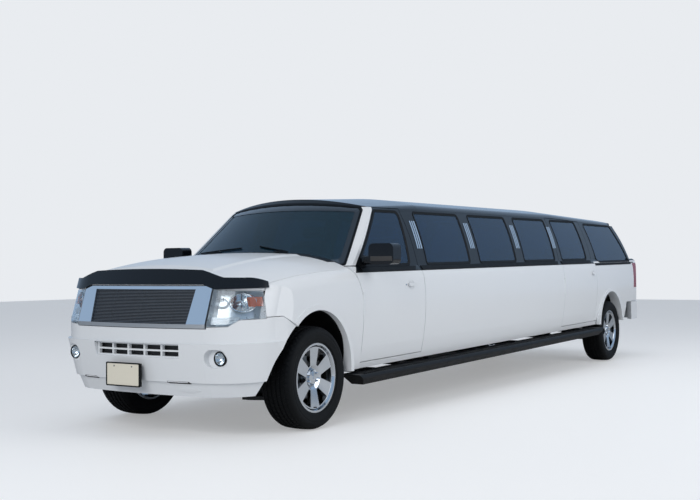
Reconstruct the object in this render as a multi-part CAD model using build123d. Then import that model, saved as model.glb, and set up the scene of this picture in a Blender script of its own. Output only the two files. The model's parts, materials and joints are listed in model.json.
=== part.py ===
"""Stretch limousine on a full-size four-door utility body, lengthened behind the front doors.

Millimetres. The body is drawn level, with +Y to the tail, +X to the vehicle's left and
the front axle above the origin. The last step turns it by its small nose-down rake and
moves it so that the origin is on the ground under the middle of the vehicle.
"""
from build123d import *
import math
import os

# Driving dimensions
BASE_WHEELBASE = 3327.0
STRETCH = 3556.0
WHEELBASE = BASE_WHEELBASE + STRETCH
NOSE = -973.0
REAR_OVERHANG = 1310.0
BUMPER_STEP = 12.0
PLATE_DEPTH = 28.0
PLATE_GAP = 1.6
RAKE = 0.85
TRACK_HALF = 851.0
TYRE_R = 396.0
TYRE_W = 275.0
RIM_R = 262.0
RIM_W = 236.0

# The rake lowers the rear hub in the level drawing by the same amount as it lifts the tail
REAR_HUB_Y = WHEELBASE * math.cos(math.radians(RAKE))
REAR_HUB_Z = TYRE_R - WHEELBASE * math.sin(math.radians(RAKE))
TAIL = WHEELBASE + REAR_OVERHANG

# Cross-section of the body side, half widths at named heights
ROCKER_Z = 403.0
ROCKER_X = 940.0
LOW_CREASE_Z = 569.0
LOW_CREASE_X = 973.0
HIGH_CREASE_Z = 673.0
HIGH_CREASE_X = 986.0
FLANK_Z = 930.0
FLANK_X = 1001.0
SHOULDER_Z = 1100.0
SHOULDER_X = 992.0
BELT_Z = 1235.0
BELT_X = 934.0
GLASS_MIDDLE_Z = 1490.0
GLASS_MIDDLE_X = 870.0
GLASS_TOP_Z = 1735.0
GLASS_TOP_X = 775.0
ROOF_EDGE_Z = 1800.0
ROOF_EDGE_X = 698.0
ROOF_TOP_Z = 1882.0
CAVITY_Z = 200.0

# Wall thicknesses
DOOR_T = 105.0
FRAME_T = 55.0
ROOF_T = 45.0
PANE_SET = 5.0
PANE_T = 6.0
SEAT_GAP = 0.3
SKIN_T = 30.0

# Panel joints along the body
PANEL_GAP = 5.0
DOOR_GAP = 6.5
DOOR_SLOPE = 0.27
FRONT_DOOR_Y = 655.0
FRONT_DOOR_LEN = 1060.0
REAR_DOOR_LEN = 1130.0
REAR_DOOR_TO_HUB = 1680.0
SILL_TOP = 455.0
WINDOW_SEAM_Z = 1752.0
ROOF_DROP_Y = WHEELBASE - 1483.0
ROOF_DROP = 1.5
ROOF_RISE_Y = 2000.0
ROOF_RISE = 2.6
TAIL_SLOPE = 37.0
REAR_DOOR_Y = WHEELBASE - REAR_DOOR_TO_HUB
FRONT_DOOR_END = FRONT_DOOR_Y + FRONT_DOOR_LEN
REAR_DOOR_END = REAR_DOOR_Y + REAR_DOOR_LEN
SIDE_START = FRONT_DOOR_END + DOOR_GAP
SIDE_END = REAR_DOOR_Y - DOOR_GAP
SILL_END = REAR_HUB_Y - 440.0 - 30.0
GATE_HALF = 735.0
GATE_SEAM_Y = TAIL - 690.0
GATE_BOTTOM = 640.0

# Wheel openings
ARCH_R = 440.0
ARCH_RISE = 78.0
FLARE_W = 42.0
FLARE_OUT = 6.0
FLARE_X = 958.0
STEER_X = 810.0
STEER_LIMIT = 30.0

# Chassis
RAIL_IN = 385.0
RAIL_OUT = 465.0
RAIL_LOW = 385.0
BUMPER_INNER = 75.0
FLOOR_Z = 530.0
FLOOR_T = 40.0

FAR = 3000.0


def chain_edges(start, steps):
    """Edges along a chain of steps: an end point, or a pair of a point on an arc and its end."""
    edges = []
    here = start
    for step in steps:
        if isinstance(step[0], tuple):
            edges.append(ThreePointArc(here, step[0], step[1]))
            here = step[1]
        else:
            edges.append(Line(here, step))
            here = step
    return edges, here


def chain_face(plane, start, *steps):
    """Closed flat face bounded by a chain, which a straight line closes if it is open."""
    edges, here = chain_edges(start, steps)
    if here != start:
        edges.append(Line(here, start))
    return plane * make_face(edges)


def flipped(point):
    """A point mirrored over the section's upright middle line."""
    return (-point[0], point[1])


def mirrored_face(plane, start, steps, top=None, bottom=None):
    """Face symmetric about its upright middle line, from the chain of its right half.

    The halves are joined over the top and under the bottom by an arc through a middle
    point, or by a straight line where no middle point is given.
    """
    right, end = chain_edges(start, steps)
    points = [start] + [step[1] if isinstance(step[0], tuple) else step for step in steps]
    back = []
    for index in range(len(steps), 0, -1):
        step = steps[index - 1]
        before = flipped(points[index - 1])
        back.append((flipped(step[0]), before) if isinstance(step[0], tuple) else before)
    over = ((0.0, top), flipped(end)) if top is not None else flipped(end)
    under = [((0.0, bottom), start)] if bottom is not None else [start]
    edges, _ = chain_edges(start, list(steps) + [over] + back + under)
    return plane * make_face(edges)


def side_plane(x=0.0):
    """Plane of a side view: local x is Y and local y is Z."""
    return Plane(origin=(x, 0, 0), x_dir=(0, 1, 0), z_dir=(1, 0, 0))


def front_plane(y=0.0):
    """Plane of a front view: local x is X and local y is Z."""
    return Plane(origin=(0, y, 0), x_dir=(1, 0, 0), z_dir=(0, -1, 0))


def plan_plane(z=0.0):
    """Plane of a plan view."""
    return Plane(origin=(0, 0, z), x_dir=(1, 0, 0), z_dir=(0, 0, 1))


def side_prism(x_low, x_high, start, *steps):
    """Prism across the vehicle from a side-view outline."""
    return extrude(chain_face(side_plane(x_low), start, *steps), amount=x_high - x_low)


def front_prism(y_low, y_high, start, *steps):
    """Prism along the vehicle from a front-view outline."""
    return extrude(chain_face(front_plane(y_high), start, *steps), amount=y_high - y_low)


def plan_prism(z_low, z_high, start, *steps):
    """Upright prism from a plan-view outline."""
    return extrude(chain_face(plan_plane(z_low), start, *steps), amount=z_high - z_low)


def block(x, y, z):
    """Box from three pairs of limits."""
    size = (x[1] - x[0], y[1] - y[0], z[1] - z[0])
    middle = ((x[0] + x[1]) / 2, (y[0] + y[1]) / 2, (z[0] + z[1]) / 2)
    return Pos(*middle) * Box(*size)


def rod(start, end, radius):
    """Round bar between two points."""
    a = Vector(*start)
    b = Vector(*end)
    line = b - a
    plane = Plane(origin=start, z_dir=(line.X, line.Y, line.Z))
    return extrude(plane * Circle(radius), amount=line.length)


def both_sides(shape):
    """A left-hand shape and its mirror image, as one compound."""
    return Compound(children=list(shape.solids()) + list(mirror(shape, about=Plane.YZ).solids()))


def right_of(shape):
    """The right-hand twin of a left-hand shape."""
    return mirror(shape, about=Plane.YZ)


# Outer forms, each with an inset that gives the inner side of a wall

def lower_section(inset):
    """Right half of the body section below the belt."""
    low = ROCKER_Z if inset == 0 else CAVITY_Z
    start = (ROCKER_X - inset, low)
    steps = [
        (ROCKER_X - inset, ROCKER_Z) if inset else (ROCKER_X + 1.0, ROCKER_Z + 6.0),
        (LOW_CREASE_X - inset, LOW_CREASE_Z),
        (HIGH_CREASE_X - inset, HIGH_CREASE_Z),
        ((FLANK_X - inset, FLANK_Z), (SHOULDER_X - inset, SHOULDER_Z)),
        ((SHOULDER_X - 18.0 - inset, SHOULDER_Z + 75.0), (BELT_X - inset, BELT_Z)),
    ]
    return start, steps


def upper_section(inset):
    """Right half of the section from below the belt to the roof."""
    side = min(inset, FRAME_T)
    roof = min(inset, ROOF_T)
    start = (BELT_X + 8.0 - side, BELT_Z - 60.0)
    steps = [
        (BELT_X - side, BELT_Z),
        ((GLASS_MIDDLE_X - side, GLASS_MIDDLE_Z), (GLASS_TOP_X - side, GLASS_TOP_Z)),
        ((GLASS_TOP_X - 25.0 - side * 0.8, GLASS_TOP_Z + 43.0 - roof * 0.8),
         (ROOF_EDGE_X - side * 0.5, ROOF_EDGE_Z - roof)),
    ]
    return start, steps


def nose_steps(inset):
    """Right half of the nose outline in plan, from the middle back to the flank."""
    n = NOSE + inset
    return [
        ((868.0 - inset * 0.6, n + 172.0), (990.0 - inset, n + 430.0)),
        (1060.0, n + 900.0),
    ]


def plan_outline(inset, tail_step=BUMPER_STEP):
    """Whole vehicle in plan, with a bowed nose and tail and rounded corners."""
    n = NOSE + inset
    t = TAIL - tail_step - inset
    start = (620.0, n + 45.0)
    steps = nose_steps(inset) + [
        (1060.0, t - 420.0),
        (1003.0 - inset, t - 330.0),
        ((968.0 - inset * 0.8, t - 140.0), (830.0 - inset * 0.4, t - 52.0)),
    ]
    return mirrored_face(plan_plane(0.0), start, steps, top=t, bottom=n)


SCREEN_LOW = 1200.0
SCREEN_MIDDLE_Y = 290.0
SCREEN_MIDDLE_SLOPE = 1.183
SCREEN_SIDE_Y = 600.0
SCREEN_SIDE_SLOPE = 1.414


def windshield_wedge(inset):
    """All that lies behind the windshield's surface: a ruled loft between two bowed sections."""
    shift = inset * 1.55
    rise = ROOF_TOP_Z + 18.0 - SCREEN_LOW
    sections = []
    for up in (0.0, rise):
        side = SCREEN_SIDE_Y + SCREEN_SIDE_SLOPE * up + shift
        middle = SCREEN_MIDDLE_Y + SCREEN_MIDDLE_SLOPE * up + shift
        sections.append(mirrored_face(
            plan_plane(SCREEN_LOW + up), (1000.0, side), [(1100.0, side + 220.0), (1100.0, TAIL + 900.0)],
            bottom=middle))
    return loft(sections, ruled=True)


def tail_wedge(inset):
    """All that lies ahead of the sloping rear window's surface."""
    t = TAIL - 75.0 - inset * 1.3
    slope = math.radians(TAIL_SLOPE)
    face = mirrored_face(
        plan_plane(1130.0), (1100.0, 0.0),
        [(1100.0, t - 420.0), (960.0, t - 300.0), ((925.0, t - 130.0), (800.0, t - 55.0))], top=t)
    return extrude(face, amount=(ROOF_TOP_Z - 1000.0) / math.cos(slope),
        dir=(0, -math.sin(slope), math.cos(slope)))


def lower_form(inset):
    """Solid below the belt, from behind the front wheels to the tail."""
    start, steps = lower_section(inset)
    face = mirrored_face(front_plane(TAIL + 50.0), start, steps)
    bar = extrude(face, amount=TAIL + 50.0 - 200.0)
    end = TAIL - BUMPER_STEP - inset
    bustle = side_prism(
        -FAR, FAR, (0.0, 0.0), (end + 10.0, 0.0), (end + 10.0, 1060.0),
        ((end - 22.0, 1165.0), (end - 130.0, 1216.0)), (end - 300.0, 1300.0), (0.0, 1300.0))
    return bar & extrude(plan_outline(inset), amount=FAR) & bustle


def upper_form(inset):
    """Solid of the windows and roof, with the roof falling a little towards the tail."""
    start, steps = upper_section(inset)
    roof = min(inset, ROOF_T)
    face = mirrored_face(front_plane(ROOF_DROP_Y), start, steps, top=ROOF_TOP_Z - roof)
    level = extrude(face, amount=ROOF_DROP_Y - ROOF_RISE_Y)
    drop = math.radians(ROOF_DROP)
    falling = extrude(face, amount=TAIL - ROOF_DROP_Y + 100.0, dir=(0, math.cos(drop), -math.sin(drop)))
    rise = math.radians(ROOF_RISE)
    brow = extrude(Pos(0, ROOF_RISE_Y - ROOF_DROP_Y, 0) * face, amount=ROOF_RISE_Y - 200.0,
                   dir=(0, -math.cos(rise), -math.sin(rise)))
    return (brow + level + falling) & windshield_wedge(inset) & tail_wedge(inset)


HOOD_CREST_Y = 450.0
HOOD_CREST_Z = 1332.0
HOOD_CURVE = 6400.0
LIP = 22.0
LEAN_Z = 852.0
NOSE_LEAN = 0.343


def nose_column(inset):
    """The plan outline drawn up the front: upright to the bumper's top, then leaning back."""
    slope = math.hypot(1.0, NOSE_LEAN)
    upright = extrude(plan_outline(inset), amount=LEAN_Z)
    leaning = extrude(Pos(0, 0, LEAN_Z) * plan_outline(inset), amount=700.0 * slope,
                      dir=(0, NOSE_LEAN / slope, 1 / slope))
    return upright + leaning


def front_form(inset):
    """Solid of fenders and hood: one section swept forwards along the hood's long curve."""
    low = ROCKER_Z - 60.0
    i = inset
    start = (ROCKER_X - i, low)
    steps = [
        (LOW_CREASE_X - i, LOW_CREASE_Z),
        (HIGH_CREASE_X - i, HIGH_CREASE_Z),
        ((FLANK_X - i, FLANK_Z), (SHOULDER_X - i, SHOULDER_Z)),
        ((966.0 - i * 0.9, 1178.0 - i * 0.5), (900.0 - i * 0.6, 1230.0 - i)),
        ((760.0 - i * 0.3, 1288.0 - i), (570.0, HOOD_CREST_Z - i)),
        (535.0, HOOD_CREST_Z + 14.0 - i),
    ]
    axis = Axis((0, HOOD_CREST_Y, HOOD_CREST_Z - HOOD_CURVE), (1, 0, 0))
    face = mirrored_face(front_plane(HOOD_CREST_Y), start, steps, top=HOOD_CREST_Z + 33.0 - i)
    bar = revolve(face.rotate(axis, -7.0), axis=axis, revolution_arc=22.0)
    n = NOSE + i
    nose = side_prism(
        -FAR, FAR, (n + 30, 0.0), (n + 30, LEAN_Z), (n + 112, 1092.0 - i),
        ((n + 142, 1176.0 - i), (n + 240, 1222.0 - i)), (n + 600, 1400.0), (1200.0, 1600.0), (1200.0, 0.0))
    return bar & nose_column(inset + LIP) & nose


def arch_cutter(y, z, radius, x_low=560.0):
    """Left wheel opening: round above the hub and straight down from there."""
    centre = z + ARCH_RISE
    return side_prism(
        x_low, FAR, (y - radius, 0.0), (y + radius, 0.0), (y + radius, centre),
        ((y, centre + radius), (y - radius, centre)))


def arch_flare(y, z, low):
    """Raised lip round the left wheel opening."""
    outer = arch_cutter(y, z, ARCH_R + FLARE_W, FLARE_X)
    ring = outer - arch_cutter(y, z, ARCH_R, 900.0)
    side = block((900, FLANK_X + FLARE_OUT), (y - 700, y + 700), (low, 1300))
    return ring & side


# Door and pillar joints: sloping planes that open as the door swings

def joint_plane(y_outer):
    """Outline in plan of everything ahead of a door's slanted rear joint."""
    return plan_prism(
        0.0, FAR, (0.0, -FAR), (1200.0, -FAR), (1200.0, y_outer + DOOR_SLOPE * (1200.0 - FLANK_X)),
        (0.0, y_outer - DOOR_SLOPE * FLANK_X))


def seam_height(y):
    """Height of the joint between the window band and the roof panel."""
    return WINDOW_SEAM_Z - max(0.0, y - ROOF_DROP_Y) * math.tan(math.radians(ROOF_DROP))


PILLAR_BASE_Y = 672.0
PILLAR_BASE_Z = 1246.0
PILLAR_TOP_Y = 1229.0
PILLAR_GRADIENT = (PILLAR_TOP_Y - PILLAR_BASE_Y) / (WINDOW_SEAM_Z - PILLAR_BASE_Z)
PILLAR_GAP = DOOR_GAP * math.hypot(1.0, PILLAR_GRADIENT)


def pillar_line(z):
    """Front edge of the door's window frame at a height, as a place along the body."""
    return PILLAR_BASE_Y + PILLAR_GRADIENT * (z - PILLAR_BASE_Z)


OUTER_LOW = lower_form(0.0)
OUTER_UP = upper_form(0.0)
INNER_LOW = lower_form(DOOR_T)
INNER_UP = upper_form(FRAME_T)
OUTER = OUTER_LOW + OUTER_UP
INNER = INNER_LOW + INNER_UP
GLASS_BAND = upper_form(PANE_SET) - upper_form(PANE_SET + PANE_T)
FRONT_OUT = front_form(0.0)
FRONT_IN = front_form(SKIN_T)


def side_wall(outline):
    """Left wall of the body inside a side-view outline."""
    return (OUTER & side_prism(200.0, FAR, *outline)) - INNER


def window(points, radius, shrink=0.0):
    """Window prism on the left side, from side-view corners, with rounded corners."""
    face = side_plane(200.0) * make_face(Polyline(*points, close=True))
    face = fillet(face.vertices(), radius)
    if shrink:
        face = offset(face, amount=-shrink)
    return extrude(face, amount=FAR)


# Windows: front and rear ends at the bottom and at the top
WINDOW_LOW = 1240.0
WINDOW_HIGH = 1722.0
STRETCH_CORNER_R = 35.0
BAND_SEAM_Z = 1186.0
WINDOWS = {
    "front_door": ((688.0, 1560.0), (1220.0, 1612.0)),
    "rear_door": ((REAR_DOOR_Y + 95.0, REAR_DOOR_Y + 945.0), (REAR_DOOR_Y + 60.0, REAR_DOOR_Y + 905.0)),
}
STRETCH_WINDOWS = 3
STRETCH_PITCH = (SIDE_END - SIDE_START - 60.0) / STRETCH_WINDOWS
STRETCH_WINDOW_LEN = 905.0
STRETCH_FIRST = SIDE_START + 160.0
QUARTER_LOW_Z = 1205.0


def window_corners(low, high):
    """Side-view corners of a window from its ends at the bottom and at the top."""
    return [(low[0], WINDOW_LOW), (low[1], WINDOW_LOW), (high[1], WINDOW_HIGH), (high[0], WINDOW_HIGH)]


def stretch_window(index, inset=0.0):
    """Prism of one of the windows in the stretched side, drawn in by an inset."""
    front = STRETCH_FIRST + index * STRETCH_PITCH + inset
    rear = STRETCH_FIRST + index * STRETCH_PITCH + STRETCH_WINDOW_LEN - inset
    low = WINDOW_LOW + inset
    high = WINDOW_HIGH - inset
    return window([(front, low), (rear, low), (rear, high), (front, high)], STRETCH_CORNER_R - inset)


QUARTER_CORNERS = [
    (REAR_DOOR_END + 190.0, QUARTER_LOW_Z), (TAIL - 335.0, QUARTER_LOW_Z),
    (TAIL - 690.0, 1690.0), (REAR_DOOR_END + 90.0, 1700.0)]


# Hinge barrels: fixed knuckle and pin in the middle, moving knuckles at both ends
HINGE_R = 6.0
PIN_R = 3.5
KNUCKLE_LEN = 65.0
DOOR_HINGE_LOW = 830.0
DOOR_HINGE_HIGH = 1030.0
GATE_HINGE_HALF = 150.0


def span(start, end, low, high, radius):
    """Round bar along part of a line, between two distances from its start."""
    a = Vector(*start)
    along = (Vector(*end) - a).normalized()
    return rod(tuple(a + along * low), tuple(a + along * high), radius)


def moving_knuckles(panel, start, end):
    """Add both end knuckles of a hinge to a moving panel and clear its fixed knuckle."""
    length = (Vector(*end) - Vector(*start)).length
    panel = panel - span(start, end, KNUCKLE_LEN - 0.5, length - KNUCKLE_LEN + 0.5, HINGE_R + 1.0)
    panel = panel + span(start, end, 0.0, KNUCKLE_LEN, HINGE_R)
    panel = panel + span(start, end, length - KNUCKLE_LEN, length, HINGE_R)
    return panel - span(start, end, -1.0, length + 1.0, PIN_R + SEAT_GAP)


def fixed_knuckle(panel, start, end):
    """Add a hinge's fixed knuckle and pin to a body panel and clear its moving knuckles."""
    length = (Vector(*end) - Vector(*start)).length
    panel = panel - span(start, end, -1.0, KNUCKLE_LEN + 0.5, HINGE_R + 1.0)
    panel = panel - span(start, end, length - KNUCKLE_LEN - 0.5, length + 1.0, HINGE_R + 1.0)
    panel = panel + span(start, end, KNUCKLE_LEN + SEAT_GAP, length - KNUCKLE_LEN - SEAT_GAP, HINGE_R)
    return panel + span(start, end, 0.0, length, PIN_R)


def door_hinge(y):
    """Ends of a left door's hinge line, from the place of the door's front edge."""
    middle = y - DOOR_GAP / 2
    return (FLANK_X, middle, DOOR_HINGE_LOW), (FLANK_X, middle, DOOR_HINGE_HIGH)


def front_door():
    """Left front door: lower skin and window frame as one panel with a pull handle."""
    top = WINDOW_SEAM_Z - DOOR_GAP
    outline = [
        (FRONT_DOOR_Y, SILL_TOP), (FRONT_DOOR_Y, 1000.0), (FRONT_DOOR_Y - 95.0, 1238.0),
        (pillar_line(1238.0), 1238.0), (pillar_line(top), top), (FRONT_DOOR_END + 400.0, top),
        (FRONT_DOOR_END + 400.0, SILL_TOP)]
    panel = side_wall(outline) & joint_plane(FRONT_DOOR_END)
    panel = panel - window(window_corners(*WINDOWS["front_door"]), 45.0)
    panel = panel - block((0, COWL_HALF + 15.0), (400, 1000), (1100, 1300))
    return moving_knuckles(panel, *door_hinge(FRONT_DOOR_Y)) + handle(FRONT_DOOR_END - 250.0)


def rear_door():
    """Left rear door, cut round the rear wheel opening."""
    outline = [
        (REAR_DOOR_Y - 300.0, SILL_TOP), (REAR_DOOR_Y - 300.0, WINDOW_SEAM_Z - DOOR_GAP),
        (ROOF_DROP_Y, WINDOW_SEAM_Z - DOOR_GAP),
        (REAR_DOOR_END + 300.0, seam_height(REAR_DOOR_END + 300.0) - DOOR_GAP),
        (REAR_DOOR_END + 300.0, SILL_TOP)]
    ahead = joint_plane(REAR_DOOR_Y)
    panel = (side_wall(outline) & joint_plane(REAR_DOOR_END)) - ahead
    panel = panel - window(window_corners(*WINDOWS["rear_door"]), 45.0)
    panel = panel - arch_cutter(REAR_HUB_Y, REAR_HUB_Z, ARCH_R + 60.0)
    return moving_knuckles(panel, *door_hinge(REAR_DOOR_Y)) + handle(REAR_DOOR_END - 130.0)


def handle(y):
    """Pull handle on the flank: two feet and a rounded grip."""
    z = 1065.0
    x = 985.0
    grip = extrude(side_plane(x + 22.0) * SlotOverall(118.0, 30.0), amount=14.0)
    grip = Pos(0, y, z) * grip
    feet = block((x - 10, x + 24), (y - 50, y - 34), (z - 11, z + 11))
    feet = feet + block((x - 10, x + 24), (y + 34, y + 50), (z - 11, z + 11))
    return grip + feet


def door_glass(name):
    """Left door pane, flush in its frame."""
    return GLASS_BAND & window(window_corners(*WINDOWS[name]), 45.0, SEAT_GAP)


def side_panel():
    """Left stretched side between the doors: flank with its sill, and window band with its pillars."""
    outline = [
        (SIDE_START - 500.0, ROCKER_Z - 5.0), (SIDE_START - 500.0, WINDOW_SEAM_Z - 0.5),
        (SIDE_END + 500.0, WINDOW_SEAM_Z - 0.5), (SIDE_END + 500.0, ROCKER_Z - 5.0)]
    panel = (side_wall(outline) & joint_plane(SIDE_END)) - joint_plane(SIDE_START)
    for index in range(STRETCH_WINDOWS):
        panel = panel - stretch_window(index)
    panel = panel - block((0, FAR), (SIDE_START - 500.0, SIDE_END + 500.0),
        (BAND_SEAM_Z, BAND_SEAM_Z + SEAT_GAP))
    sill = [
        (FRONT_DOOR_Y, ROCKER_Z - 5.0), (FRONT_DOOR_Y, SILL_TOP - DOOR_GAP), (SILL_END, SILL_TOP - DOOR_GAP),
        (SILL_END, ROCKER_Z - 5.0)]
    return fixed_knuckle(panel + side_wall(sill), *door_hinge(REAR_DOOR_Y))


def fixed_glass():
    """Panes of the left stretched side and the quarter window."""
    panes = [GLASS_BAND & stretch_window(index, SEAT_GAP) for index in range(STRETCH_WINDOWS)]
    panes.append(GLASS_BAND & window(QUARTER_CORNERS, 45.0, SEAT_GAP))
    return Compound(children=[solid for pane in panes for solid in pane.solids()])


def quarter_panel():
    """Left rear quarter with its wheel opening, window, lamp recess and corner."""
    outline = [
        (REAR_DOOR_END - 300.0, ROCKER_Z - 5.0),
        (REAR_DOOR_END - 300.0, seam_height(REAR_DOOR_END - 300.0) - 0.5),
        (TAIL + 100.0, seam_height(TAIL + 100.0) - 0.5), (TAIL + 100.0, ROCKER_Z - 5.0)]
    panel = side_wall(outline) - joint_plane(REAR_DOOR_END + DOOR_GAP)
    panel = panel - window(QUARTER_CORNERS, 45.0)
    panel = panel - block((-10, GATE_HALF + DOOR_GAP), (GATE_SEAM_Y - 200, TAIL + 100), (0, FAR))
    panel = panel - block((0, FAR), (WHEELBASE + 700.0, TAIL + 100), (0, BUMPER_TOP + PANEL_GAP))
    panel = panel - arch_cutter(REAR_HUB_Y, REAR_HUB_Z, ARCH_R)
    panel = panel - lamp_prism(SEAT_GAP)
    panel = panel - block((0, FAR), (0, SILL_END + PANEL_GAP), (0, SILL_TOP))
    flare = arch_flare(REAR_HUB_Y, REAR_HUB_Z, ROCKER_Z) - INNER_LOW
    return panel + (flare - joint_plane(REAR_DOOR_END + DOOR_GAP))


BUMPER_TOP = 640.0
LAMP_LOW = 836.0
LAMP_HIGH = 1176.0


def lamp_prism(clearance):
    """Space of the left tail lamp."""
    c = clearance
    return block((GATE_HALF + 22.0 - c, FAR), (TAIL - 330.0 - c, TAIL + 100), (LAMP_LOW - c, LAMP_HIGH + c))


def tail_lamps():
    """Upright lamps that wrap round the rear corners."""
    lamp = (OUTER_LOW & lamp_prism(0.0)) - lower_form(60.0)
    return both_sides(lamp)


def roof_panel():
    """Roof skin with its rails, from the windshield header to the gate."""
    region = side_prism(
        -FAR, FAR, (900.0, WINDOW_SEAM_Z), (ROOF_DROP_Y, WINDOW_SEAM_Z),
        (GATE_SEAM_Y, seam_height(GATE_SEAM_Y)),
        (GATE_SEAM_Y, FAR), (900.0, FAR))
    skin = (OUTER_UP & region) - INNER_UP - windshield_opening(0.5)
    return fixed_knuckle(skin, *gate_hinge())


def pillars_front():
    """Left pillar beside the windshield, from the cowl to the roof."""
    low = PILLAR_BASE_Z
    top = WINDOW_SEAM_Z - 0.5
    region = side_prism(
        560.0, FAR, (low - 900.0, low), (pillar_line(low) - PILLAR_GAP, low),
        (pillar_line(top) - PILLAR_GAP, top),
        (low - 900.0, top))
    return ((OUTER_UP & region) - INNER_UP) - windshield_opening(0.0)


def windshield_opening(margin):
    """Front-view outline of the glass, drawn back through the pillars."""
    m = margin
    return front_prism(
        0.0, 1600.0, (-868.0 - m, 1250.0 - m), (868.0 + m, 1250.0 - m), (712.0 + m, 1722.0),
        ((698.0 + m, 1742.0 + m), (670.0, 1750.0 + m)), ((0.0, 1806.0 + m), (-670.0, 1750.0 + m)),
        ((-698.0 - m, 1742.0 + m), (-712.0 - m, 1722.0)))


def windshield():
    """Bowed glass between the pillars, the cowl and the roof header."""
    sheet = upper_form(0.0) - windshield_wedge(PANE_T)
    return sheet & windshield_opening(-SEAT_GAP)


def gate_hinge():
    """Ends of the gate's hinge line, at the roof's highest point."""
    y = GATE_SEAM_Y + DOOR_GAP / 2
    z = ROOF_TOP_Z - (y - ROOF_DROP_Y) * math.tan(math.radians(ROOF_DROP))
    return (-GATE_HINGE_HALF, y, z), (GATE_HINGE_HALF, y, z)


def liftgate():
    """Rear gate with its sloping window frame and a recessed plate area."""
    side = block((-GATE_HALF, GATE_HALF), (GATE_SEAM_Y + DOOR_GAP, TAIL + 100), (GATE_BOTTOM + DOOR_GAP, FAR))
    shell = (OUTER & side) - lower_form(70.0) - upper_form(FRAME_T)
    shell = shell - gate_window(0.0)
    recess = block((-185.0, 185.0), (TAIL - 40.0, TAIL + 50.0), (860.0, 1040.0))
    return moving_knuckles(shell - recess, *gate_hinge())


def gate_window(margin):
    """Rear window opening in front view, drawn through the gate."""
    m = margin
    face = front_plane(TAIL + 100.0) * make_face(
        Polyline((-665.0 + m, 1225.0 + m), (665.0 - m, 1225.0 + m), (610.0 - m, 1700.0 - m),
        (-610.0 + m, 1700.0 - m),
                 close=True))
    face = fillet(face.vertices(), 50.0)
    return extrude(face, amount=900.0)


def rear_glass():
    """Rear window pane in the gate."""
    return GLASS_BAND & gate_window(SEAT_GAP) & block((-700, 700), (GATE_SEAM_Y, TAIL + 100), (1200, 1800))


# Front end

HOOD_EDGE_X = 928.0
COWL_HALF = 785.0
HOOD_LEAN = 0.55
HOOD_REAR_Z = 1260.0
HOOD_REAR_SIDE = 515.0
HOOD_REAR_MIDDLE = 235.0


def hood_region(grow=0.0):
    """Plan of the hood, up to a bowed rear edge that leans back as it rises."""
    g = grow
    rise = HOOD_REAR_Z - 700.0
    back = HOOD_LEAN * rise
    edge = HOOD_EDGE_X + g
    rear = HOOD_REAR_SIDE + 1.9 * g - back
    face = chain_face(
        plan_plane(700.0), (-edge, NOSE - 900.0), (edge, NOSE - 900.0), (edge, rear),
        ((0.0, HOOD_REAR_MIDDLE + 1.15 * g - back), (-edge, rear)))
    length = 900.0
    slope = math.hypot(1.0, HOOD_LEAN)
    return extrude(face, amount=length * slope, dir=(0, HOOD_LEAN / slope, 1 / slope))


def hood():
    """Crowned hood with a raised middle."""
    below = front_prism(
        NOSE - 100.0, NOSE + 560.0, (-FAR, 0.0), (FAR, 0.0), (FAR, 1050.0), (930.0, 1083.0), (648.0, 1097.0),
        (648.0, 1127.0), (-648.0, 1127.0), (-648.0, 1097.0), (-930.0, 1083.0), (-FAR, 1050.0))
    panel = (FRONT_OUT & hood_region()) - FRONT_IN - below
    lamp = lamp_front_prism(PANEL_GAP)
    return panel - lamp - right_of(lamp)


def grille_space(grow):
    """Space of the grille's bright surround in front view."""
    g = grow
    return front_prism(
        NOSE - 100.0, NOSE + 400.0, (-635.0 - g, 822.0 - g), (635.0 + g, 822.0 - g), (638.0 + g, 1122.0 + g),
        (-638.0 - g, 1122.0 + g))


LAMP_END = -600.0


def lamp_front_prism(grow):
    """Front-view outline of the left headlamp, drawn back along the flank."""
    g = grow
    return front_prism(
        NOSE - 100.0, LAMP_END + g, (648.0 - g, 834.0 - g), (790.0 - g * 0.3, 838.0 - g),
        (850.0 + g * 0.5, 884.0 - g),
        (1010.0 + g, 888.0 - g), (1010.0 + g, 1050.0), ((985.0 + g, 1074.0), (930.0, 1080.0 + g)),
        (650.0 - g, 1092.0 + g))


def headlamps():
    """Headlamps that wrap round the front corners, and round fog lamps below."""
    block_form = FRONT_OUT & lamp_front_prism(0.0)
    lamp = block_form - front_form(95.0)
    fog = rod((FOG_X, FOG_FACE - 6.0, FOG_Z), (FOG_X, FOG_FACE + 60.0, FOG_Z), FOG_R)
    return both_sides(Compound(children=list(lamp.solids()) + list(fog.solids())))


FOG_X = 728.0
FOG_Z = 607.0
FOG_R = 54.0
FOG_FACE = NOSE + 118.0


def fender():
    """Left front fender with its wheel opening."""
    skin = FRONT_OUT - FRONT_IN
    region = side_prism(
        560.0, FAR, (BUMPER_SEAM[1][0] + PANEL_GAP, ROCKER_Z), (FRONT_DOOR_Y - DOOR_GAP, ROCKER_Z),
        (FRONT_DOOR_Y - DOOR_GAP, 1000.0), (FRONT_DOOR_Y - 95.0 - DOOR_GAP, 1238.0), (500.0, 1400.0),
        (-760.0, 1400.0),
        (-760.0, BUMPER_SEAM[0][1] + PANEL_GAP), (BUMPER_SEAM[0][0] + 2.0, BUMPER_SEAM[0][1] + PANEL_GAP),
        (BUMPER_SEAM[1][0] + PANEL_GAP, BUMPER_SEAM[1][1]))
    skin = (skin & region) - hood_region(PANEL_GAP) - lamp_front_prism(PANEL_GAP)
    skin = skin - block((0.0, COWL_HALF + PANEL_GAP), (200.0, 700.0), (1000.0, FAR))
    above = block((0, 900), (200, 700), (PILLAR_BASE_Z - PANEL_GAP, FAR))
    skin = skin - (windshield_wedge(-PANEL_GAP) & above) - arch_cutter(0.0, TYRE_R, ARCH_R)
    return fixed_knuckle(skin + (arch_flare(0.0, TYRE_R, ROCKER_Z) & region), *door_hinge(FRONT_DOOR_Y))


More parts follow.
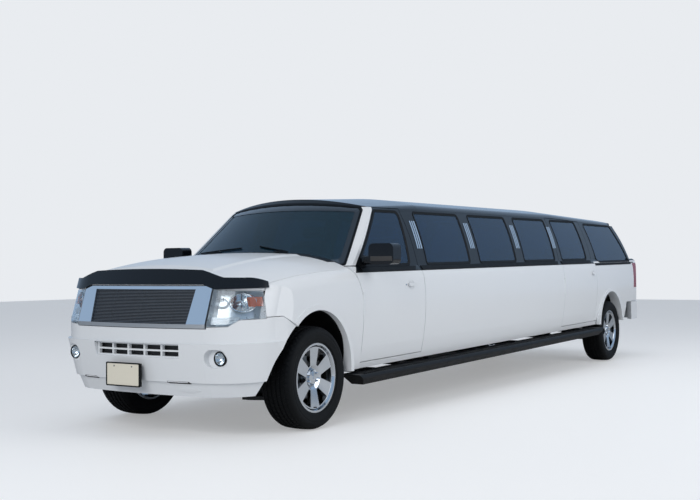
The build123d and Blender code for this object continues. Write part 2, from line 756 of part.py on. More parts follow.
BUMPER_BANDS = (  # low and high edge, then the inset at each
    (713.0, 890.0, 22.0, 22.0),
    (428.0, 713.0, 56.0, 0.0),
    (323.0, 428.0, 112.0, 74.0),
)
BAND_STEP_Z = 428.0
VALANCE_INNER = 140.0


def bumper_outer(grow=0.0):
    """Outer form of the bumper: three bands, the lower ones tucked in."""
    bands = None
    for low, high, inset_low, inset_high in BUMPER_BANDS:
        band = loft([Pos(0, 0, low) * plan_outline(inset_low - grow),
            Pos(0, 0, high) * plan_outline(inset_high - grow)],
                    ruled=True)
        bands = band if bands is None else bands + band
    side = FLANK_X - 9.0
    return bands & block((-side, side), (NOSE - 100, BUMPER_SEAM[1][0]), (0, FAR))


def bumper_cavity(grow=0.0):
    """Hollow behind the bumper cover."""
    upper = extrude(Pos(0, 0, BAND_STEP_Z) * plan_outline(BUMPER_INNER + grow), amount=620.0)
    lower = extrude(Pos(0, 0, 200) * plan_outline(VALANCE_INNER + grow), amount=BAND_STEP_Z - 200.0)
    return upper + lower


def front_bumper():
    """Bumper cover in three bands, hollow behind, with its air opening and lamp recesses."""
    cover = bumper_outer() - bumper_cavity()
    cover = cover - grille_space(PANEL_GAP)
    cover = cover - side_prism(-FAR, FAR, *BUMPER_SEAM, (BUMPER_SEAM[1][0] + 100.0, FAR),
        (BUMPER_SEAM[0][0], FAR))
    low = block((-645, 645), (NOSE - 100, -300), (822 - PANEL_GAP, FAR))
    cover = cover - low
    for cut in (lamp_front_prism(PANEL_GAP), arch_cutter(0.0, TYRE_R, ARCH_R)):
        cover = cover - cut - right_of(cut)
    cover = cover - side_prism(-FAR, FAR, BUMPER_SEAM[1], ((-462.0, 650.0), (-566.0, 440.0)), (-616.0, 300.0),
                               (300.0, 300.0), (300.0, 812.0))
    cover = cover - front_prism(NOSE - 100, NOSE + 200, *BUMPER_MOUTH)
    hole = rod((FOG_X, NOSE - 100.0, FOG_Z), (FOG_X, NOSE + 300.0, FOG_Z), FOG_R + 0.5)
    dish = Pos(FOG_X - 18.0, FOG_FACE, FOG_Z) * extrude(front_plane() * SlotOverall(172.0, 132.0),
        amount=200.0)
    cut = hole + dish
    return cover - cut - right_of(cut)


BUMPER_SEAM = ((-440.0, 890.0), (-290.0, 812.0))
BUMPER_MOUTH = ((-414.0, 604.0), (414.0, 604.0), (424.0, 708.0), (-424.0, 708.0))
GRID_BAR = 6.0
GRID_POST = 8.0
GRID_POSTS = 6


def bumper_grille():
    """Lower grille: two rows of five openings, bowed like the bumper."""
    half = BUMPER_MOUTH[0][0] + SEAT_GAP
    low = BUMPER_MOUTH[0][1] + SEAT_GAP
    high = BUMPER_MOUTH[2][1] - SEAT_GAP
    depth = (NOSE, NOSE + 150.0)
    grid = None
    for z in (low + GRID_BAR, (low + high) / 2, high - GRID_BAR):
        row = block((half, -half), depth, (z - GRID_BAR, z + GRID_BAR))
        grid = row if grid is None else grid + row
    first = half + GRID_POST
    pitch = -2 * first / (GRID_POSTS - 1)
    for index in range(GRID_POSTS):
        x = first + index * pitch
        grid = grid + block((x - GRID_POST, x + GRID_POST), depth, (low, high))
    return grid & (extrude(plan_outline(36.0), amount=FAR) - extrude(plan_outline(64.0), amount=FAR))


GRILLE_OPEN = ((-478.0, 852.0), (478.0, 852.0), (502.0, 1099.0), (-502.0, 1099.0))


def grille_surround():
    """Bright frame, bowed in plan, wider at its sides."""
    frame = (grille_space(0.0) & nose_column(18.0)) - nose_column(78.0)
    return frame - front_prism(NOSE - 100, NOSE + 400, *GRILLE_OPEN)


GRILLE_BARS = 16


def grille_bars():
    """Fine level bars, bowed and leaning with the surround, on two upright carriers."""
    pitch = (GRILLE_OPEN[2][1] - GRILLE_OPEN[0][1]) / (GRILLE_BARS + 1)
    gap = 0.4
    opening = front_prism(
        NOSE - 100, NOSE + 400, *[(x - math.copysign(gap, x), z + (gap if z < 900 else -gap))
        for x, z in GRILLE_OPEN])
    depth = (NOSE, NOSE + 400)
    bars = []
    for index in range(GRILLE_BARS):
        z = GRILLE_OPEN[0][1] + (index + 1) * pitch
        bars.append(block((-540, 540), depth, (z - 3, z + 3)))
    plate = Compound(children=bars) & (nose_column(38.0) - nose_column(58.0))
    carriers = block((-336, -324), depth, (845, 1106)) + block((324, 336), depth, (845, 1106))
    return (plate + (carriers & (nose_column(52.0) - nose_column(66.0)))) & opening


DEFLECTOR_FEET = (-560.0, -190.0, 190.0, 560.0)


def hood_deflector():
    """Dark deflector that stands along the hood's front edge."""
    out = nose_column(6.0) - nose_column(14.0)
    outline = front_prism(
        NOSE - 100, NOSE + 500, (-950.0, 1104.0), (-670.0, 1098.0), (-560.0, 1134.0), (560.0, 1134.0),
        (670.0, 1098.0), (950.0, 1104.0), (943.0, 1150.0), ((900.0, 1173.0), (840.0, 1180.0)),
        (709.0, 1183.0),
        (590.0, 1222.0), (530.0, 1238.0), ((0.0, 1250.0), (-530.0, 1238.0)), (-590.0, 1222.0),
        (-709.0, 1183.0),
        (-840.0, 1180.0), ((-900.0, 1173.0), (-943.0, 1150.0)), (-950.0, 1104.0))
    blade = out & outline
    for x in DEFLECTOR_FEET:
        foot = block((x - 25, x + 25), (NOSE, NOSE + 300), (1138, 1150)) & nose_column(7.0)
        blade = blade + (foot - front_form(-SEAT_GAP))
    return blade


def cowl():
    """Panel at the windshield's foot."""
    strip = (FRONT_OUT - FRONT_IN) - hood_region(PANEL_GAP)
    region = block((-COWL_HALF, COWL_HALF), (200.0, 640.0), (1000.0, FAR))
    return (strip & region) - windshield_wedge(-SEAT_GAP)


# Chassis

def frame_rails():
    """Two long rails under the floor."""
    rail = block((RAIL_IN, RAIL_OUT), (NOSE, TAIL), (RAIL_LOW, FLOOR_Z))
    return both_sides(rail & bumper_cavity(SEAT_GAP))


CROSSMEMBER_COUNT = 9
OUTRIGGERS = (1350.0, 2450.0, 3450.0, 4450.0, 5650.0)


def frame_crossmembers():
    """Crossmembers between the rails."""
    first = -560.0
    pitch = (TAIL - 420.0 - first) / (CROSSMEMBER_COUNT - 1)
    bars = []
    for index in range(CROSSMEMBER_COUNT):
        y = first + index * pitch
        bars.append(block((-RAIL_IN, RAIL_IN), (y - 35, y + 35), (RAIL_LOW + 80, FLOOR_Z - 10)))
    for y in OUTRIGGERS:
        arm = block((RAIL_OUT, 900), (y - 40, y + 40), (ROCKER_Z + 8, ROCKER_Z + 42))
        arm = arm & lower_form(DOOR_T + SEAT_GAP)
        bars += [arm, right_of(arm)]
    return Compound(children=[solid for bar in bars for solid in bar.solids()])


GEARBOX_R = 110.0


def engine_and_driveline():
    """Engine as a plain block, gearbox, propeller shaft and rear differential."""
    engine = block((-270, 270), (-400, 330), (545, 930))
    gearbox = rod((0, 330, 655), (0, 1050, 645), GEARBOX_R)
    shaft = rod((0, 1000, 400), (0, REAR_HUB_Y - 150, REAR_HUB_Z + 20), 45)
    drop = block((-70, 70), (950, 1050), (380, 640))
    diff = Pos(0, REAR_HUB_Y, REAR_HUB_Z + 10) * Sphere(150)
    axle = rod((-690, REAR_HUB_Y, REAR_HUB_Z), (690, REAR_HUB_Y, REAR_HUB_Z), 24)
    mounts = block((-RAIL_IN, RAIL_IN), (-60, 60), (495, 560))
    return engine + gearbox + drop + shaft + diff + axle + mounts


# Wheels and what carries them

def tyre():
    """Tyre of the left front wheel, turned about its axle at the origin."""
    half = TYRE_W / 2
    profile = chain_face(
        Plane.XY, (-RIM_W / 2 + 8.3, RIM_R - 12.0), (-RIM_W / 2 + 8.3, RIM_R + 3.3),
        (-RIM_W / 2, RIM_R + 3.3),
        ((-half, (RIM_R + TYRE_R) / 2 - 6.0), (-half + 18, TYRE_R - 24.0)), (-half + 34, TYRE_R - 6.0),
        ((0.0, TYRE_R), (half - 34, TYRE_R - 6.0)), (half - 18, TYRE_R - 24.0),
        ((half, (RIM_R + TYRE_R) / 2 - 6.0), (RIM_W / 2, RIM_R + 3.3)), (RIM_W / 2 - 8.3, RIM_R + 3.3),
        (RIM_W / 2 - 8.3, RIM_R - 12.0))
    return revolve(profile, axis=Axis.X, revolution_arc=360)


SPOKES = 6
GROOVE_HALF = 7.0
HUB_R = 72.0
AXLE_R = 32.0
AXLE_GAP = 0.3


def rim():
    """Six-spoke rim: a barrel with flanges, a dished face with six windows, and a hub."""
    w = RIM_W / 2
    barrel = chain_face(
        Plane.XY, (-w, RIM_R + 3.0), (-w + 8, RIM_R + 3.0), (-w + 8, RIM_R - 12.3), (w - 8, RIM_R - 12.3),
        (w - 8, RIM_R + 3.0), (w, RIM_R + 3.0), (w, RIM_R - 12.0), (w - 30, RIM_R - 26.0),
        (-w + 20, RIM_R - 26.0),
        (-w, RIM_R - 12.0))
    ring = revolve(barrel, axis=Axis.X, revolution_arc=360)
    face = chain_face(
        Plane.XY, (w - 62, AXLE_R + 1.0), (w - 62, HUB_R), (w - 52, RIM_R - 25.0), (w - 16, RIM_R - 25.0),
        (w - 30, HUB_R + 20.0), (w - 44, HUB_R - 6.0), (w - 44, AXLE_R + 1.0))
    disc = revolve(face, axis=Axis.X, revolution_arc=360)
    inner = HUB_R + 30.0
    outer = RIM_R - 34.0
    for index in range(SPOKES):
        turn = 360.0 / SPOKES * index + 30.0
        a = math.radians(15.5)
        b = math.radians(7.0)
        cut = chain_face(
            Plane.YZ, (-outer * math.sin(a), outer * math.cos(a)),
            ((0.0, outer), (outer * math.sin(a), outer * math.cos(a))),
            (inner * math.sin(b), inner * math.cos(b)), (-inner * math.sin(b), inner * math.cos(b)))
        disc = disc - Rot(turn, 0, 0) * extrude(cut, amount=w)
        groove = chain_face(Plane.XY, (w - 35, HUB_R + 32), (w - 26, RIM_R - 54), (w, RIM_R - 54),
            (w, HUB_R + 32))
        disc = disc - Rot(turn - 30.0, 0, 0) * extrude(groove, amount=GROOVE_HALF, both=True)
    hub = revolve(chain_face(Plane.XY, (w - 150, AXLE_R + AXLE_GAP), (w - 150, HUB_R), (w - 60, HUB_R),
                             (w - 60, AXLE_R + AXLE_GAP)), axis=Axis.X, revolution_arc=360)
    cap = revolve(chain_face(Plane.XY, (w - 62, 0.0), (w - 62, HUB_R - 20), (w - 34, HUB_R - 24),
        (w - 30, 0.0)),
                  axis=Axis.X, revolution_arc=360)
    return ring + disc + hub + cap


def front_knuckle():
    """Left steered knuckle: an upright with two joint bosses and the wheel spindle."""
    web = block((STEER_X - 34, STEER_X - 8), (-45, 45), (TYRE_R - 130, TYRE_R + 130))
    spindle = rod((STEER_X - 20, 0, TYRE_R), (TRACK_HALF + RIM_W / 2 - 66, 0, TYRE_R), AXLE_R)
    top = block((STEER_X - 34, STEER_X + 18), (-26, 26), (TYRE_R + 120, TYRE_R + 150))
    foot = block((STEER_X - 34, STEER_X + 18), (-26, 26), (TYRE_R - 150, TYRE_R - 120))
    arm = block((STEER_X - 50, STEER_X - 26), (-150, -40), (TYRE_R - 60, TYRE_R - 34))
    return web + spindle + top + foot + arm


def suspension_arms():
    """Left front wishbones and rear arms with the fixed rear knuckle."""
    parts = []
    for z, reach in ((TYRE_R + 150.0 + SEAT_GAP, 120.0), (TYRE_R - 178.0 - SEAT_GAP, 190.0)):
        outline = [(RAIL_OUT, -reach), (RAIL_OUT, reach), (STEER_X + 18, 28.0), (STEER_X + 18, -28.0)]
        parts.append(plan_prism(z, z + 28.0, outline[0], *outline[1:]))
    y = REAR_HUB_Y
    z = REAR_HUB_Z
    upright = block((690, 735), (y - 60, y + 60), (z - 120, z + 120))
    spindle = rod((720, y, z), (TRACK_HALF + RIM_W / 2 - 66, y, z), AXLE_R)
    lower = plan_prism(z - 118, z - 84, (RAIL_OUT - 80, y - 230), (RAIL_OUT - 80, y + 120), (700, y + 50),
        (700, y - 50))
    upper = plan_prism(z + 90, z + 118, (RAIL_OUT, y - 140), (RAIL_OUT, y + 140), (700, y + 40),
        (700, y - 40))
    parts.append(upright + spindle + lower + upper)
    return Compound(children=[solid for part in parts for solid in part.solids()])


def suspension():
    """Both sides' arms, with front brackets under and over the rails."""
    tower = block((RAIL_IN + 10, RAIL_OUT), (-120, 120), (FLOOR_Z, TYRE_R + 178))
    drop = block((RAIL_IN + 10, RAIL_OUT), (-190, 190), (TYRE_R - 178, RAIL_LOW))
    rear = block((RAIL_IN, RAIL_IN + 60), (REAR_HUB_Y - 230, REAR_HUB_Y - 60), (REAR_HUB_Z - 118, RAIL_LOW))
    left = list(suspension_arms().solids())
    whole = left[0]
    for solid in left[1:] + [tower, drop, rear]:
        whole = whole + solid
    return both_sides(whole)


CROSSMEMBER_PITCH = (TAIL - 420.0 + 560.0) / (CROSSMEMBER_COUNT - 1)
HANGERS = [-560.0 + index * CROSSMEMBER_PITCH for index in (2, 4, 6)]


def exhaust():
    """Silencer and tail pipe on the vehicle's right."""
    pipe_z = 330.0
    box = block((-350, -120), (REAR_DOOR_Y - 200, REAR_DOOR_Y + 500), (pipe_z - 75, pipe_z + 75))
    front = rod((-230, 900, pipe_z), (-230, REAR_DOOR_Y - 200, pipe_z), 32)
    back = rod((-230, REAR_DOOR_Y + 500, pipe_z), (-230, REAR_HUB_Y - 330, pipe_z), 32)
    for y in HANGERS:
        front = front + block((-240, -220), (y - 10, y + 10), (pipe_z, RAIL_LOW + 80 - SEAT_GAP))
    return box + front + back


def fuel_tank():
    """Moulded tank slung between the rails on the vehicle's left."""
    tank = block((90, 370), (2300, 3700), (250, RAIL_LOW + 80 - SEAT_GAP))
    return fillet(tank.edges().filter_by(Axis.Z), 40.0)


def floor_pan():
    """Flat floor with notches for the rear wheels and a step up to the toe board."""
    floor = block((-850, 850), (600, TAIL - 430), (FLOOR_Z, FLOOR_Z + FLOOR_T))
    wide = block((-900, 900), (SIDE_START + 60, SIDE_END - 90), (FLOOR_Z, FLOOR_Z + FLOOR_T))
    floor = floor + (wide & lower_form(DOOR_T + SEAT_GAP))
    floor = floor + block((-700, 700), (TAIL - 430, TAIL - 130), (FLOOR_Z, FLOOR_Z + FLOOR_T))
    notch = block((645, 900), (REAR_HUB_Y - 470, REAR_HUB_Y + 470), (0, FAR))
    floor = floor - notch - right_of(notch)
    wall = 20.0
    floor = floor + front_prism(600, 1200, *tunnel_outline(0.0))
    return floor - front_prism(590, 1200 - wall, *tunnel_outline(wall))


def tunnel_outline(inset):
    """Front-view outline of the tunnel over the gearbox."""
    half = GEARBOX_R + 50.0 - inset
    top = 655.0 + GEARBOX_R + 45.0 - inset
    low = FLOOR_Z - (1.0 if inset else 0.0)
    return [(-half, low), (half, low), (half, top - 60.0), (half - 60.0, top), (-half + 60.0, top),
        (-half, top - 60.0)]


def firewall():
    """Bulkhead behind the engine."""
    wall = block((-780, 780), (570, 600), (FLOOR_Z, 1200))
    wall = wall + block((-430, 430), (330, 600), (1180, 1200))
    wall = wall + (block((-430, 430), (330, 342), (1180, FAR)) & front_form(SKIN_T + SEAT_GAP))
    return wall - rod((0, 500, 652), (0, 700, 650), GEARBOX_R + 12.0)


def hinge_posts():
    """Upright posts at the front doors' leading edges, between bulkhead and fenders."""
    foot = FLOOR_Z + FLOOR_T
    post = side_prism(780, 960, (575, foot), (640, foot), (640, 1000), (575, 1160))
    post = post & front_form(SKIN_T + SEAT_GAP)
    return both_sides(post)


RADIATOR_BACK = NOSE + 250.0
RADIATOR_HALF = 560.0


def radiator_support():
    """Radiator with the cross panel that carries the lamps, the grille and the hood's stops."""
    core = block((-RADIATOR_HALF, RADIATOR_HALF), (NOSE, RADIATOR_BACK), (FLOOR_Z, 1100))
    core = core & nose_column(78.0 + SEAT_GAP)
    wings = block((-880, 880), (NOSE, NOSE + 330), (900, 1040)) & front_form(95.0 + SEAT_GAP)
    panel = core + (wings - block((-RADIATOR_HALF, RADIATOR_HALF), (RADIATOR_BACK, FAR), (0, FAR)))
    for x in (-480.0, 480.0):
        stop = rod((x, NOSE + 215, 1090), (x, NOSE + 215, 1300), 14.0)
        panel = panel + (stop & front_form(SKIN_T + SEAT_GAP))
    return panel


FRONT_LINER_X = RAIL_OUT
REAR_LINER_X = 660.0


def wheel_liners():
    """Arched liners over the four wheels."""
    liners = []
    front_limit = front_form(SKIN_T + SEAT_GAP) & block((0, FLARE_X - SEAT_GAP), (-FAR, FAR), (0, FAR))
    front_limit = front_limit - block((880, FAR), (-FAR, -280), (0, 830))
    rear_limit = lower_form(DOOR_T + SEAT_GAP)
    places = ((0.0, TYRE_R, FRONT_LINER_X, front_limit), (REAR_HUB_Y, REAR_HUB_Z, REAR_LINER_X, rear_limit))
    for y, z, x_low, limit in places:
        outer = arch_cutter(y, z, ARCH_R + 14.0, x_low)
        inner = arch_cutter(y, z, ARCH_R + 6.0, x_low - 10)
        liners.append((outer - inner) & block((0, FAR), (y - 700, y + 700), (z + 60, FAR)) & limit)
    return both_sides(Compound(children=[solid for liner in liners for solid in liner.solids()]))


def running_boards():
    """Side steps with bevelled ends, on brackets from the rails."""
    low = 285.0
    high = 372.0
    section = chain_face(
        front_plane(REAR_HUB_Y - 520.0), (880.0, high), (1052.0, high),
        ((1074.0, high - 22.0), (1066.0, high - 50.0)),
        (1040.0, low), (930.0, low))
    board = extrude(section, amount=REAR_HUB_Y - 520.0 - 470.0)
    ends = side_prism(800.0, FAR, (470.0, high), (560.0, low), (REAR_HUB_Y - 640.0, low),
        (REAR_HUB_Y - 520.0, high))
    board = board & ends
    for y in BRACKETS:
        board = board + block((RAIL_IN + 10, 935), (y - 25, y + 25), (RAIL_LOW - 45, RAIL_LOW))
    return both_sides(board)


BRACKET_COUNT = 6
BRACKET_FIRST = 900.0
BRACKET_LAST = REAR_HUB_Y - 1000.0
BRACKET_PITCH = (BRACKET_LAST - BRACKET_FIRST) / (BRACKET_COUNT - 1)
BRACKETS = [BRACKET_FIRST + index * BRACKET_PITCH for index in range(BRACKET_COUNT)]


def rear_bumper():
    """Rear bumper cover round the tail, with a step top."""
    cover = extrude(Pos(0, 0, 395) * plan_outline(0.0, 0.0), amount=BUMPER_TOP - 395)
    cover = cover & block((-FLANK_X, FLANK_X), (0, TAIL + 100.0), (0, FAR))
    cover = cover - extrude(Pos(0, 0, 300) * plan_outline(BUMPER_INNER), amount=FAR)
    cover = cover & block((-FAR, FAR), (WHEELBASE + 700.0 + PANEL_GAP, TAIL + 100.0), (0, FAR))
    arch = arch_cutter(REAR_HUB_Y, REAR_HUB_Z, ARCH_R)
    return cover - arch - right_of(arch)


def mirror_head():
    """Left door mirror: a deep rounded shell on a stout arm."""
    y = 790.0
    shell = block((1010, 1245), (y - 70, y + 60), (1252, 1425))
    shell = fillet(shell.edges().filter_by(Axis.Y), 42.0)
    arm = block((880, 1040), (y - 40, y + 30), (1262, 1310))
    return (shell + arm) - upper_form(-SEAT_GAP)


def pillar_trims():
    """Sets of three bright bars on the left window pillars."""
    skin = upper_form(-5.0) - upper_form(0.0)
    bars = []
    for middle in PILLARS:
        for index in range(3):
            y = middle + (index - 1) * 36.0
            cut = side_prism(700.0, FAR, (y - 11, 1385), (y + 11, 1385), (y + 11, 1640), (y - 11, 1640))
            bars += (skin & cut).solids()
    return both_sides(Compound(children=bars))


PILLARS = [SIDE_START + 80.0, STRETCH_FIRST + STRETCH_PITCH - (STRETCH_PITCH - STRETCH_WINDOW_LEN) / 2,
           STRETCH_FIRST + 2 * STRETCH_PITCH - (STRETCH_PITCH - STRETCH_WINDOW_LEN) / 2, SIDE_END - 75.0]


PLATE_W = 340.0
PLATE_H = 176.0
PLATE_X = -78.0
PLATE_Z = 475.0
SCREW_PITCH = 178.0
SCREW_UP = 58.0
SCREW_R = 3.3


def plate_holder():
    """Upright plate carrier, level with the ground, drilled for two screws, on a pad behind."""
    front = NOSE - PLATE_GAP - PLATE_DEPTH
    frame = Box(PLATE_W, PLATE_DEPTH, PLATE_H)
    for side in (-0.5, 0.5):
        screw = rod((side * SCREW_PITCH, -PLATE_DEPTH, SCREW_UP),
            (side * SCREW_PITCH, PLATE_DEPTH, SCREW_UP), SCREW_R)
        frame = frame - screw
    plate = Pos(PLATE_X, front + PLATE_DEPTH / 2, PLATE_Z) * Rot(-RAKE, 0, 0) * frame
    pad = block((PLATE_X - 70, PLATE_X + 70), (front + PLATE_DEPTH / 2, NOSE + 120),
        (PLATE_Z - 40, PLATE_Z + 45))
    return plate + (pad - bumper_outer(SEAT_GAP))


def dashboard():
    """Instrument panel with a column and a steering wheel."""
    panel = side_prism(-775, 775, (600 + SEAT_GAP, 880), (900, 860), (930, 1110), ((860, 1195), (700, 1205)),
                       (600 + SEAT_GAP, 1175))
    column = rod((380, 850, 1080), (380, 1025, 1157), 30)
    plane = Plane(origin=(380, 1020, 1155), z_dir=(0, 160, 70))
    wheel = plane * (Torus(190, 15))
    bars = plane * Box(360, 40, 16)
    return panel + column + wheel + bars


def seats():
    """Two front seats, a long side bench and a rear bench."""
    parts = []
    for x in (-400, 400):
        cushion = block((x - 230, x + 230), (1250, 1760), (FLOOR_Z + FLOOR_T + 0.3, 900))
        back = side_prism(x - 230, x + 230, (1700, 890), (1850, 890), (2010, 1480), (1900, 1500))
        head = side_prism(x - 130, x + 130, (1915, 1480), (2000, 1470), (2040, 1620), (1960, 1640))
        parts += [cushion + back + head]
    bench = block((-800, -330), (2300, REAR_DOOR_Y - 100), (FLOOR_Z + FLOOR_T + 0.3, 900))
    rest = block((-800, -680), (2300, REAR_DOOR_Y - 100), (880, 1230))
    rear = block((-620, 620), (REAR_DOOR_END - 345, REAR_DOOR_END + 250), (FLOOR_Z + FLOOR_T + 0.3, 900))
    rear_back = block((-620, 620), (REAR_DOOR_END + 120, REAR_DOOR_END + 250), (880, 1400))
    parts += [bench + rest, rear + rear_back]
    return Compound(children=[solid for part in parts for solid in part.solids()])


NODES = {}


def add(name, shape):
    """Keep a node's shape, turned and placed, under its file name."""
    NODES[name] = placed(shape)


def add_pair(name, left):
    """Keep a left node and its right twin."""
    add(name + "_left", left)
    NODES[name + "_right"] = right_of(placed(left))


def build():
    """Make every node."""
    add_pair("front_door", front_door())
    add_pair("front_door_glass", door_glass("front_door"))
    add_pair("rear_door", rear_door())
    add_pair("rear_door_glass", door_glass("rear_door"))
    add_pair("side_panel", side_panel())
    add_pair("quarter_panel", quarter_panel())
    add("fixed_glass", both_sides(fixed_glass()))
    add("tail_lamps", tail_lamps())
    add("roof_panel", roof_panel())
    add("front_pillars", both_sides(pillars_front()))
    add("windshield", windshield())
    add("liftgate", liftgate())
    add("rear_glass", rear_glass())
    add("hood", hood())
    add("hood_deflector", hood_deflector())
    add_pair("fender", fender())
    add("headlamps", headlamps())
    add("front_bumper", front_bumper())
    add("bumper_grille", bumper_grille())
    add("grille_surround", grille_surround())
    add("grille_bars", grille_bars())
    add("cowl", cowl())
    add("frame_rails", frame_rails())
    add("frame_crossmembers", frame_crossmembers())
    add("engine_and_driveline", engine_and_driveline())
    add("suspension", suspension())
    add("exhaust", exhaust())
    add("fuel_tank", fuel_tank())
    add("floor_pan", floor_pan())
    add("firewall", firewall())
    add("hinge_posts", hinge_posts())
    add("radiator_support", radiator_support())
    add("wheel_liners", wheel_liners())
    add("running_boards", running_boards())
    add("rear_bumper", rear_bumper())
    add_pair("mirror", mirror_head())
    add("pillar_trims", pillar_trims())
    add("plate_holder", plate_holder())
    add("dashboard", dashboard())
    add("seats", seats())
    add_pair("front_knuckle", front_knuckle())
    for place, y, z in (("front", 0.0, TYRE_R), ("rear", REAR_HUB_Y, REAR_HUB_Z)):
        add_pair(place + "_tyre", Pos(TRACK_HALF, y, z) * tyre())
        add_pair(place + "_rim", Pos(TRACK_HALF, y, z) * rim())


def placed(shape):
    """Turn a level shape by the rake about the front hubs and centre it on the ground."""
    middle = (NOSE - PLATE_GAP - PLATE_DEPTH + TAIL) / 2
    return Pos(0, -middle, TYRE_R) * Rot(RAKE, 0, 0) * Pos(0, 0, -TYRE_R) * shape


if __name__ == "__main__":
    os.makedirs("parts", exist_ok=True)
    build()
    for node, shape in NODES.items():
        export_step(shape, f"parts/{node}.step")
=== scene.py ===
"""A six-window stretch limousine, dressed in paint, glass, plated trim and leather for a studio portrait.

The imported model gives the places; every class below takes one sub-assembly, draws what finishes it and
hands the pieces to the body that carries them. Lengths are metres. Pieces are drawn in the car's own
axes: across from the middle, along from the front axle, up from the ground at the front axle. One turn
and one move then set them on the wheels as the car stands.
"""

from __future__ import annotations

import json
import logging
import math
from dataclasses import dataclass, field, replace
from enum import Enum
from typing import Any, Iterable, Sequence

import bmesh
import bpy
from mathutils import Matrix, Vector
from mathutils.bvhtree import BVHTree

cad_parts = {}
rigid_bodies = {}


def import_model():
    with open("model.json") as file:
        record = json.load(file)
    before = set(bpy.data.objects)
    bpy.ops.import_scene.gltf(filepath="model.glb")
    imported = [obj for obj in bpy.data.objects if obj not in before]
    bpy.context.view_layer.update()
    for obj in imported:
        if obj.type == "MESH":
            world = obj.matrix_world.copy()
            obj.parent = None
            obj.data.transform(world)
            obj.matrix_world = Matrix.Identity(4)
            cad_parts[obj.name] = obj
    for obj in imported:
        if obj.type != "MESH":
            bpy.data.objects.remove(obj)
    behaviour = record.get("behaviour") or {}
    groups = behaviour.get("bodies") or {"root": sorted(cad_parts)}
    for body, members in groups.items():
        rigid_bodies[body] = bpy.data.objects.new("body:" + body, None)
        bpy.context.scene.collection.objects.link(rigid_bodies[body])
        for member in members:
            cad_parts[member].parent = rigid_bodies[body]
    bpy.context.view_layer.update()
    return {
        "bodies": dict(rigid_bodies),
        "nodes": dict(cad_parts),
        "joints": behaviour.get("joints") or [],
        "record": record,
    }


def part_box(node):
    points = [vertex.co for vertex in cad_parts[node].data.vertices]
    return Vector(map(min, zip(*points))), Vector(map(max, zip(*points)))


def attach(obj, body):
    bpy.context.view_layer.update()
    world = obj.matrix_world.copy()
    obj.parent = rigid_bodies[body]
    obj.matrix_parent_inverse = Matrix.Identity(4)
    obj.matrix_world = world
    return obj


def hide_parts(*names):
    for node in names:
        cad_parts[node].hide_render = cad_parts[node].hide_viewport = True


LOG = logging.getLogger("limousine")

Point = tuple[float, float, float]
Flat = tuple[float, float]

# Stance
RAKE = math.radians(0.85)
HUB_HEIGHT = 0.396
AXLE_TO_MIDDLE = 3.5952
STANCE = Matrix.Translation((0.0, -AXLE_TO_MIDDLE, HUB_HEIGHT)) @ Matrix.Rotation(RAKE, 4, "X") \
    @ Matrix.Translation((0.0, 0.0, -HUB_HEIGHT))

# Places along the body, in the car's own axes
NOSE = -0.973
TAIL = 8.193
FRONT_DOOR = (0.655, 1.715)
REAR_DOOR = (5.203, 6.333)
SIDE = (1.7215, 5.1965)
BELT = 1.186
WINDOW_LOW = 1.240
WINDOW_HIGH = 1.722
STRETCH_WINDOWS = 3
STRETCH_PITCH = 1.13833
STRETCH_LENGTH = 0.905
CABIN_FLOOR = 0.5703


class Body(Enum):
    """The moving bodies that pieces ride on."""

    CHASSIS = "chassis"
    HOOD = "hood"
    LIFTGATE = "liftgate"
    FRONT_DOOR_LEFT = "front_door_left"
    FRONT_DOOR_RIGHT = "front_door_right"
    REAR_DOOR_LEFT = "rear_door_left"
    REAR_DOOR_RIGHT = "rear_door_right"
    KNUCKLE_LEFT = "front_knuckle_left"
    KNUCKLE_RIGHT = "front_knuckle_right"
    FRONT_WHEEL_LEFT = "front_wheel_left"
    FRONT_WHEEL_RIGHT = "front_wheel_right"
    REAR_WHEEL_LEFT = "rear_wheel_left"
    REAR_WHEEL_RIGHT = "rear_wheel_right"


class Side(Enum):
    """The car's two sides, as the sign of the distance from its middle."""

    LEFT = 1
    RIGHT = -1

    @property
    def word(self) -> str:
        """The side's name in piece names."""
        return "left" if self is Side.LEFT else "right"


def linear(code: str, alpha: float = 1.0) -> tuple[float, float, float, float]:
    """Turns an sRGB hex code into the linear colour that the shaders use.

    Args:
        code: Six hex digits after a hash.
        alpha: The fourth channel.

    Returns:
        Linear red, green and blue, and the alpha.
    """
    channels = [int(code[index:index + 2], 16) / 255.0 for index in (1, 3, 5)]
    straight = [value / 12.92 if value <= 0.04045 else ((value + 0.055) / 1.055) ** 2.4 for value in channels]
    return straight[0], straight[1], straight[2], alpha


def add_node(tree: bpy.types.NodeTree, kind: str, settings: dict[str | int, Any] | None = None,
             links: dict[str | int, bpy.types.NodeSocket] | None = None) -> bpy.types.Node:
    """Adds one node with its settings and what feeds it.

    Args:
        tree: The tree that takes the node.
        kind: The node's type name.
        settings: Properties by name, or input values by input name or index.
        links: Sockets that feed the node's inputs, by input name or index.

    Returns:
        The new node.
    """
    node = tree.nodes.new(kind)
    values = settings or {}
    for name, value in values.items():
        if isinstance(name, str) and name not in node.inputs:
            setattr(node, name, value)
    for name, value in values.items():
        if not isinstance(name, str) or name in node.inputs:
            node.inputs[name].default_value = value
    for name, socket in (links or {}).items():
        tree.links.new(socket, node.inputs[name])
    return node


# Finishes

MIX_A = 6
MIX_B = 7
MIX_OUT = 2
WAVE_SCALE = 157.0795


